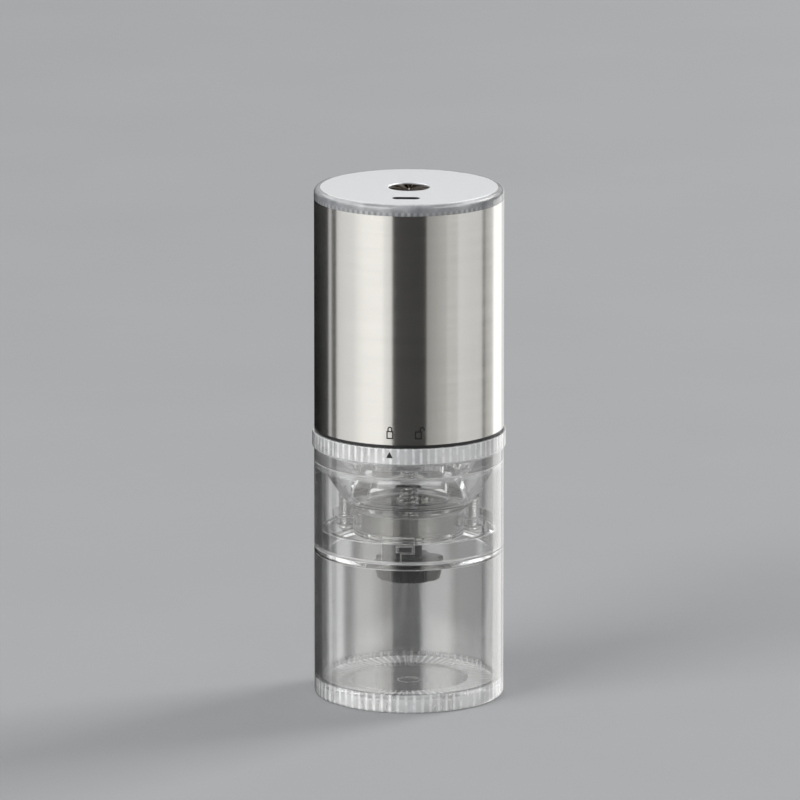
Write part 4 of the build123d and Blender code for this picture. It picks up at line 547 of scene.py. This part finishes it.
# The pointer on the hopper's ring: a filled triangle, laid round the ring in rows.
ring_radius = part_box("hopper_shell")[1].x
pointer_middle = math.radians(-MARK_ANGLE) * ring_radius
POINTER_LOW, POINTER_HEIGHT, POINTER_HALF = 91.1 * MM, 2.2 * MM, 1.15 * MM
POINTER_ROWS, POINTER_COLUMNS = 6, 6
pointer_points, pointer_faces = [], []
for lift in (INK_LIFT, INK_LIFT + INK_DEPTH):
    for row in range(POINTER_ROWS + 1):
        share = row / POINTER_ROWS
        for column in range(POINTER_COLUMNS + 1):
            across = (2 * column / POINTER_COLUMNS - 1) * POINTER_HALF * (1 - share)
            height = POINTER_LOW + POINTER_HEIGHT * share
            pointer_points.append(wrapped(pointer_middle + across, height, ring_radius + lift))
row_length = POINTER_COLUMNS + 1
layer = row_length * (POINTER_ROWS + 1)
for row in range(POINTER_ROWS):
    for column in range(POINTER_COLUMNS):
        corner = row * row_length + column
        pointer_faces.append((corner, corner + 1, corner + row_length + 1, corner + row_length))
        pointer_faces.append(tuple(layer + index for index in pointer_faces[-1][::-1]))
mesh_piece("pointer_mark", pointer_points, pointer_faces, ink, "hopper")


# SCREWS
# The carrier screws show through the clear walls, so they get real threads and crossed heads.
SCREW_CIRCLE, SCREW_CORE, SCREW_CREST, SCREW_PITCH = 22.0 * MM, 1.08 * MM, 1.45 * MM, 0.9 * MM
THREAD_SIDES, RINGS_PER_TURN, THREAD_SHARPNESS, THREAD_START = 24, 12, 3.2, 0.2
HEAD_HEIGHT, HEAD_SIDES = 1.7 * MM, 48
# The head's outline as (reach from the middle, rise from the face), in mm. The cross is sunk in
# the middle, where the points reach further out along its arms.
HEAD_PROFILE = [
    (0.0, 0.8), (0.5, 0.75), (1.25, 0.0), (2.2, 0.0),
    (2.55, 0.25), (2.6, 0.6), (2.6, 1.7), (1.08, 1.7),
]
CROSS_REACH, CROSS_RISE, CROSS_SHARE = 1.3, 1.0, 0.3


def threaded_shank(points, faces, centre, low, high):
    """Adds a screw shank with one raised helix, closed at both ends."""
    rings = round((high - low) / SCREW_PITCH * RINGS_PER_TURN)
    first = len(points)
    for ring in range(rings + 1):
        height = low + (high - low) * ring / rings
        fade = min(1.0, (high - height) / SCREW_PITCH, (height - low) / SCREW_PITCH + THREAD_START)
        for side in range(THREAD_SIDES):
            phase = (height / SCREW_PITCH - side / THREAD_SIDES) % 1.0
            rise = max(0.0, 1.0 - abs(phase - 0.5) * THREAD_SHARPNESS) * max(0.0, fade)
            radius = SCREW_CORE + (SCREW_CREST - SCREW_CORE) * rise
            points.append(round_point(centre, radius, side / THREAD_SIDES, height))
    add_rings(faces, first, rings, THREAD_SIDES)
    faces.append(tuple(first + side for side in reversed(range(THREAD_SIDES))))
    faces.append(tuple(first + rings * THREAD_SIDES + side for side in range(THREAD_SIDES)))


screw_low, screw_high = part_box("carrier_screws")
screw_points, screw_faces = [], []
for screw_x in (-SCREW_CIRCLE, SCREW_CIRCLE):
    threaded_shank(
        screw_points, screw_faces, (screw_x, 0.0), screw_low.z + HEAD_HEIGHT, screw_high.z
    )
    head_first = len(screw_points)
    for reach, rise in HEAD_PROFILE:
        crossed = 0 < reach < CROSS_REACH and rise < CROSS_RISE
        for side in range(HEAD_SIDES):
            share = side / HEAD_SIDES
            arm = 1.0 + CROSS_SHARE * math.cos(8 * math.pi * share) if crossed else 1.0
            height = screw_low.z + rise * MM
            screw_points.append(round_point((screw_x, 0.0), reach * MM * arm, share, height))
    add_rings(screw_faces, head_first, len(HEAD_PROFILE) - 1, HEAD_SIDES, inward=True)
screws = mesh_piece(
    "carrier_screw_threads", screw_points, screw_faces, screw_steel, "hopper", True
)
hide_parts("carrier_screws")


# SPRING
# The spring is made here as a coil of round wire. It stays as made: nothing here shortens or
# stretches it as the inner burr moves under it.
spring_low, spring_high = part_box("adjust_spring")
SPRING_TURNS, SPRING_WIRE, SPRING_SIDES, STEPS_PER_TURN = 6.5, 0.45 * MM, 14, 36
spring_reach = spring_high.x - SPRING_WIRE
spring_foot = spring_low.z + SPRING_WIRE
spring_rise = spring_high.z - SPRING_WIRE - spring_foot
spring_slope = spring_rise / (2 * math.pi * SPRING_TURNS * spring_reach)
spring_steps = round(SPRING_TURNS * STEPS_PER_TURN)
spring_points, spring_faces = [], []
for step in range(spring_steps + 1):
    angle = 2 * math.pi * step / STEPS_PER_TURN
    outward = Vector((math.cos(angle), math.sin(angle), 0.0))
    height = spring_foot + spring_rise * step / spring_steps
    middle = outward * spring_reach + Vector((0.0, 0.0, height))
    heading = Vector((-outward.y, outward.x, spring_slope)).normalized()
    upward = outward.cross(heading)
    for side in range(SPRING_SIDES):
        turn = 2 * math.pi * side / SPRING_SIDES
        around = outward * math.cos(turn) + upward * math.sin(turn)
        spring_points.append(middle + around * SPRING_WIRE)
add_rings(spring_faces, 0, spring_steps, SPRING_SIDES, inward=True)
spring_end = spring_steps * SPRING_SIDES
spring_faces.append(tuple(range(SPRING_SIDES)))
spring_faces.append(tuple(spring_end + side for side in reversed(range(SPRING_SIDES))))
spring = mesh_piece(
    "adjust_spring_coils", spring_points, spring_faces, spring_steel, None, True
)
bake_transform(spring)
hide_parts("adjust_spring")


# DETAILS OF THE TOP
# A short raised line in the button's dish is its on and off mark.
MARK_HALF_WIDTH, MARK_HALF_LENGTH = 0.2 * MM, 1.5 * MM
MARK_SUNK, MARK_RISE, MARK_DROP = 0.3 * MM, 0.06 * MM, 0.45 * MM
mark_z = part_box("power_button")[1].z - MARK_SUNK
mark_corners = [
    (-MARK_HALF_WIDTH, -MARK_HALF_LENGTH), (MARK_HALF_WIDTH, -MARK_HALF_LENGTH),
    (MARK_HALF_WIDTH, MARK_HALF_LENGTH), (-MARK_HALF_WIDTH, MARK_HALF_LENGTH),
]
mark_heights = (mark_z - MARK_DROP, mark_z + MARK_RISE)
mark_points = [(x, y, z) for z in mark_heights for x, y in mark_corners]
mark_faces = [(4, 5, 6, 7), (0, 3, 2, 1), (0, 1, 5, 4), (1, 2, 6, 5), (2, 3, 7, 6), (3, 0, 4, 7)]
mesh_piece("power_mark", mark_points, mark_faces, screw_steel, "power_button")


def swept_ring(name, path, section, material, body):
    """A closed band: its section, as (outward, height) corners, runs round a flat closed path."""
    points, faces = [], []
    count, corners = len(path), len(section)
    for index, (x, y) in enumerate(path):
        before, after = path[index - 1], path[(index + 1) % count]
        heading = Vector((after[0] - before[0], after[1] - before[1])).normalized()
        outward = Vector((heading.y, -heading.x))
        for reach, height in section:
            points.append((x + outward.x * reach, y + outward.y * reach, height))
    for index in range(count):
        here, there = index * corners, (index + 1) % count * corners
        for corner in range(corners):
            following = (corner + 1) % corners
            faces.append((here + corner, there + corner, there + following, here + following))
    return mesh_piece(name, points, faces, material, body)


# A polished chamfer runs round the plate and catches the light as a thin white line.
plate_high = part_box("top_plate")[1]
RIM_WIDTH, RIM_OVER, RIM_SIDES = 0.35 * MM, 0.03 * MM, 240
rim_foot, rim_edge = plate_high.z - 0.3 * MM, plate_high.z - 0.12 * MM
rim_path = [
    round_point((0.0, 0.0), plate_high.x, side / RIM_SIDES, 0.0)[:2] for side in range(RIM_SIDES)
]
rim_section = [
    (-RIM_WIDTH, rim_foot), (RIM_OVER, rim_foot), (RIM_OVER, rim_edge), (-RIM_WIDTH, plate_high.z),
]
swept_ring("plate_rim", rim_path, rim_section, polished_steel, "drive_unit")

# A thin black liner stands round the charging socket, inside the plate's opening. It is painted
# shade: a dark sheet that keeps the opening black.
shell_low, shell_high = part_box("usb_shell")
socket_middle = (shell_low + shell_high) / 2
socket_half = (shell_high.x - shell_low.x) / 2
socket_radius = (shell_high.y - shell_low.y) / 2
LINER_GAP, LINER_THICK, END_STEPS = 0.06 * MM, 0.22 * MM, 16
liner_foot, liner_top = shell_high.z - 0.4 * MM, plate_high.z - 0.01 * MM
liner_path = []
for side_sign in (1, -1):
    end_x = socket_middle.x + side_sign * (socket_half - socket_radius)
    for step in range(END_STEPS + 1):
        share = 0.5 * step / END_STEPS - 0.25 + (0.0 if side_sign > 0 else 0.5)
        reach = socket_radius + LINER_GAP
        liner_path.append(round_point((end_x, socket_middle.y), reach, share, 0.0)[:2])
liner_section = [
    (0.0, liner_foot), (LINER_THICK, liner_foot), (LINER_THICK, liner_top), (0.0, liner_top),
]
swept_ring("usb_shade_liner", liner_path, liner_section, ink, "drive_unit")


# CAMERA
IMAGE_WIDTH = 800.0
# Angles are in degrees, the distance is in metres, and lens and sensor are in millimetres.
AZIMUTH, ELEVATION, DISTANCE, LENS, SENSOR = 3.0, 12.6, 3.85, 497.4, 36.0
CLIP_NEAR, CLIP_FAR = 0.1, 60.0
# Where the middle of the object stands in the picture, in pixels from its left and its top.
AXIS_PIXEL = (409.0, 440.0)
camera_data = bpy.data.cameras.new("camera")
camera_data.lens = LENS
camera_data.sensor_width = SENSOR
camera_data.clip_start, camera_data.clip_end = CLIP_NEAR, CLIP_FAR
camera = bpy.data.objects.new("camera", camera_data)
bpy.context.scene.collection.objects.link(camera)
azimuth, elevation = math.radians(AZIMUTH), math.radians(ELEVATION)
level, rise = math.cos(elevation), math.sin(elevation)
back = Vector((math.sin(azimuth) * level, -math.cos(azimuth) * level, rise))
aside = Vector((math.cos(azimuth), math.sin(azimuth), 0.0))
above = back.cross(aside)
focal = LENS / SENSOR * IMAGE_WIDTH
pixel = DISTANCE / focal
middle = Vector((0.0, 0.0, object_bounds()[1].z / 2))
target = middle - aside * (AXIS_PIXEL[0] - IMAGE_WIDTH / 2) * pixel
target += above * (AXIS_PIXEL[1] - IMAGE_WIDTH / 2) * pixel
camera.location = target + back * DISTANCE
camera.rotation_mode = "QUATERNION"
camera.rotation_quaternion = (-back).to_track_quat("-Z", "Y")
bpy.context.scene.camera = camera


# STAGE
def stage_piece(name, points, faces, material, camera=False, diffuse=False):
    """A piece of the stage. Only what the camera may see casts a shadow."""
    piece = mesh_piece(name, points, faces, material, None)
    piece.visible_camera = camera
    piece.visible_diffuse = diffuse
    piece.visible_shadow = camera
    return piece


FLOOR_TONE = (0.36, 0.364, 0.37)
FLOOR_REACH, FLOOR_DROP = 12.0, 0.02 * MM
ground = Shader("pale_floor", Specular_IOR_Level=0.0)
ground_cloud = ground.noise(9.0, 5.0)
ground_tones = [(0.3, shade(FLOOR_TONE, 0.985)), (0.7, shade(FLOOR_TONE, 1.015))]
ground.feed("Base Color", ground.colours(ground_cloud, *ground_tones))
ground.feed("Roughness", ground.spread(ground.noise(40.0, 5.0), 0.5, 0.62))

# Through the clear parts the floor isn't plain. There it is painted light: it glows evenly,
# without the shadow, standing in for the light that does pass into them, and in soft bands of
# painted light and shade that stand in for the table and room, whose edges and tones were fitted
# to the photograph. They are laid out for the photograph's camera and bent for the jar's wall, so
# they stand upright from there alone and lean from other sides. A band is (start, end, tone): the
# blend to its tone starts and ends so many millimetres to the right of the axis.
FIRST_TONE, WALL_OUTER, WALL_INNER, WALL_SHARE = 0.1, 33.0 * MM, 30.5 * MM, 0.96
BANDS = [
    (-29.26, -27.86, 0.62), (-23.69, -21.94, 0.05), (-20.55, -17.76, 0.36), (-13.58, -8.71, 0.1),
    (3.48, 5.22, 0.52), (12.89, 17.07, 0.17), (25.78, 27.86, 0.6), (31.0, 32.39, 0.3),
]


def wall_bend(offset):
    """How far the jar's walls bend a level ray that passes so far beside the axis, in radians."""
    offset = max(-WALL_SHARE * WALL_INNER, min(WALL_SHARE * WALL_INNER, offset))

    def turn(radius):
        return math.asin(offset / radius) - math.asin(offset / radius / PLASTIC_INDEX)

    return 2 * (turn(WALL_INNER) - turn(WALL_OUTER))


ahead = (-math.sin(azimuth), math.cos(azimuth), 0.0)
behind = ground.math("MAXIMUM", ground.measure("DOT_PRODUCT", ground.place, ahead), 0.0)
shrink = ground.math("MULTIPLY_ADD", behind, 1 / DISTANCE, 1.0)
behind = ground.math("DIVIDE", behind, shrink)
beside = ground.math("DIVIDE", ground.measure("DOT_PRODUCT", ground.place, aside), shrink)
bands = FIRST_TONE
for start, end, tone in BANDS:
    lines = [
        ground.math("MULTIPLY_ADD", behind, wall_bend(offset), offset)
        for offset in (start * MM, end * MM)
    ]
    bands = ground.spread(beside, bands, tone, *lines)
# The floor's glow, seen only through the clear parts, is painted light and shade in bands.
painted_band_glow = ground.node("ShaderNodeEmission", {"Color": bands, "Strength": 1.0}).outputs[0]
through = ground.node("ShaderNodeLightPath").outputs["Is Transmission Ray"]
either = {0: through, 1: ground.main.outputs[0], 2: painted_band_glow}
either = ground.node("ShaderNodeMixShader", either).outputs[0]
ground.tree.links.new(either, ground.tree.nodes["Material Output"].inputs[0])
floor_corners = [
    (x * FLOOR_REACH, y * FLOOR_REACH, -FLOOR_DROP)
    for x, y in ((-1, -1), (1, -1), (1, 1), (-1, 1))
]
floor = stage_piece("floor", floor_corners, [(0, 1, 2, 3)], ground.material, True, True)
floor.visible_glossy = False


def set_strength(tree, strength, base, more):
    """Sets how strongly a shader shines, and by how much more it shines into the clear parts."""
    lift = tree.nodes.new("ShaderNodeMath")
    lift.operation = "MULTIPLY_ADD"
    lift.inputs[1].default_value = more
    lift.inputs[2].default_value = base
    path = tree.nodes.new("ShaderNodeLightPath")
    tree.links.new(path.outputs["Is Transmission Ray"], lift.inputs[0])
    tree.links.new(lift.outputs[0], strength)


def glow(name, colour, through_clear):
    """A material that only shines, and shines that many times as much into the clear parts."""
    material = bpy.data.materials.new(name)
    material.use_nodes = True
    tree = material.node_tree
    tree.nodes.remove(tree.nodes["Principled BSDF"])
    emission = tree.nodes.new("ShaderNodeEmission")
    emission.inputs[0].default_value = (*colour, 1.0)
    set_strength(tree, emission.inputs[1], 1.0, through_clear - 1.0)
    tree.links.new(emission.outputs[0], tree.nodes["Material Output"].inputs[0])
    return material


# The studio round the object is a tall tube of cards, seen only in reflections and through clear
# parts. Their places and tones were fitted to the stripes in the photograph. Angles are from the
# front, in degrees, and grow to the right. Each card is (start, end, tone at the start, tone at
# the end, tint, and how many times as bright it is through clear parts).
WARM, PLAIN = (1.0, 0.985, 0.95), (1.0, 0.995, 0.985)
TUBE_RADIUS, TUBE_LOW, TUBE_HIGH = 1.0, -1.2, 1.6
CARDS = [
    (-180.0, -132.0, 0.006, 0.006, PLAIN, 1.0),
    (-132.0, -110.5, 0.01, 0.07, PLAIN, 1.0),
    (-110.5, -104.5, 0.58, 0.58, PLAIN, 6.0),
    (-104.5, -95.0, 0.09, 0.09, WARM, 1.0),
    (-95.0, -65.0, 0.7, 0.78, PLAIN, 1.4),
    (-65.0, -28.0, 0.84, 0.9, WARM, 2.6),
    (-28.0, -17.0, 0.78, 0.72, WARM, 2.0),
    (-17.0, 24.0, 0.055, 0.04, WARM, 5.0),
    (24.0, 49.0, 0.33, 0.46, WARM, 6.0),
    (49.0, 64.0, 0.56, 0.56, WARM, 3.0),
    (64.0, 102.0, 0.7, 0.6, PLAIN, 1.4),
    (102.0, 108.5, 0.15, 0.15, WARM, 1.0),
    (108.5, 125.5, 0.32, 0.58, WARM, 2.0),
    (125.5, 154.0, 1.35, 1.35, PLAIN, 2.6),
    (154.0, 180.0, 0.8, 0.8, PLAIN, 2.0),
]


def tube_card(name, start, end, tone, low, high, radius, through_clear=1.0):
    """One upright card of the tube, curved round the axis."""
    steps = max(2, round((end - start) / 2))
    points, faces = [], []
    for step in range(steps + 1):
        angle = math.radians(start + (end - start) * step / steps)
        for height in (low, high):
            points.append((radius * math.sin(angle), -radius * math.cos(angle), height))
    for step in range(steps):
        corner = 2 * step
        faces.append((corner, corner + 2, corner + 3, corner + 1))
    return stage_piece(name, points, faces, glow(name, tone, through_clear))


SHADES = 4
for number, (start, end, tone_start, tone_end, tint, through_clear) in enumerate(CARDS):
    for part in range(SHADES):
        tone = tone_start + (tone_end - tone_start) * (part + 0.5) / SHADES
        part_start = start + (end - start) * part / SHADES
        part_end = start + (end - start) * (part + 1) / SHADES
        tube_card(
            f"card_{number}_{part}", part_start, part_end, shade(tint, tone),
            TUBE_LOW, TUBE_HIGH, TUBE_RADIUS, through_clear,
        )

# Behind the object two cards stand a little nearer, one over the other, for the plate on top
# and the jar's floor, which mirror them. Each is (name, tone, low, high, times through clear).
REAR_START, REAR_END, REAR_RADIUS = 125.0, 235.0, TUBE_RADIUS * 0.98
REAR_CARDS = [("middle", 0.22, 0.13, 0.3, 1.0), ("high", 0.48, 0.3, TUBE_HIGH, 3.0)]
for name, tone, low, high, through_clear in REAR_CARDS:
    tube_card(
        f"card_rear_{name}", REAR_START, REAR_END, shade(PLAIN, tone),
        low, high, REAR_RADIUS, through_clear,
    )

# High soft boxes: no upright side mirrors them, but the facets of the clear parts do. Each is
# (name, start, end, tone).
HIGH_LOW, HIGH_RADIUS, HIGH_THROUGH = 0.6, TUBE_RADIUS * 0.96, 1.6
HIGH_CARDS = [
    ("left", -135.0, -20.0, 2.2), ("right", 40.0, 135.0, 2.0), ("rear", 135.0, 225.0, 1.6),
]
for name, start, end, tone in HIGH_CARDS:
    tube_card(
        f"card_high_{name}", start, end, shade(PLAIN, tone),
        HIGH_LOW, TUBE_HIGH, HIGH_RADIUS, HIGH_THROUGH,
    )

WORLD_COLOUR, WORLD_STRENGTH, WORLD_THROUGH = (0.75, 0.76, 0.78, 1.0), 0.75, 1.9
world = bpy.data.worlds.new("studio")
world.use_nodes = True
background = world.node_tree.nodes["Background"]
background.inputs[0].default_value = WORLD_COLOUR
set_strength(world.node_tree, background.inputs[1], WORLD_STRENGTH, WORLD_THROUGH)
bpy.context.scene.world = world


AIM_HEIGHT, KEY_COLOUR = 0.09, (1.0, 0.99, 0.97)


def lamp(name, angle, height, distance, size, power, colour=(1.0, 1.0, 1.0)):
    """A soft area lamp that faces the object. The angle is from the front, in degrees."""
    data = bpy.data.lights.new(name, "AREA")
    data.shape = "RECTANGLE"
    data.size = data.size_y = size
    data.energy = power
    data.color = colour
    source = bpy.data.objects.new(name, data)
    turn = math.radians(angle)
    source.location = (distance * math.sin(turn), -distance * math.cos(turn), height)
    aim = Vector((0.0, 0.0, AIM_HEIGHT)) - source.location
    source.rotation_mode = "QUATERNION"
    source.rotation_quaternion = aim.to_track_quat("-Z", "Y")
    source.visible_camera = False
    bpy.context.scene.collection.objects.link(source)


lamp("lamp_key", angle=128.0, height=2.2, distance=3.0, size=1.3, power=75.0, colour=KEY_COLOUR)
lamp("lamp_fill", angle=-45.0, height=1.7, distance=3.0, size=2.0, power=75.0)

bpy.context.scene.view_settings.view_transform = "Standard"
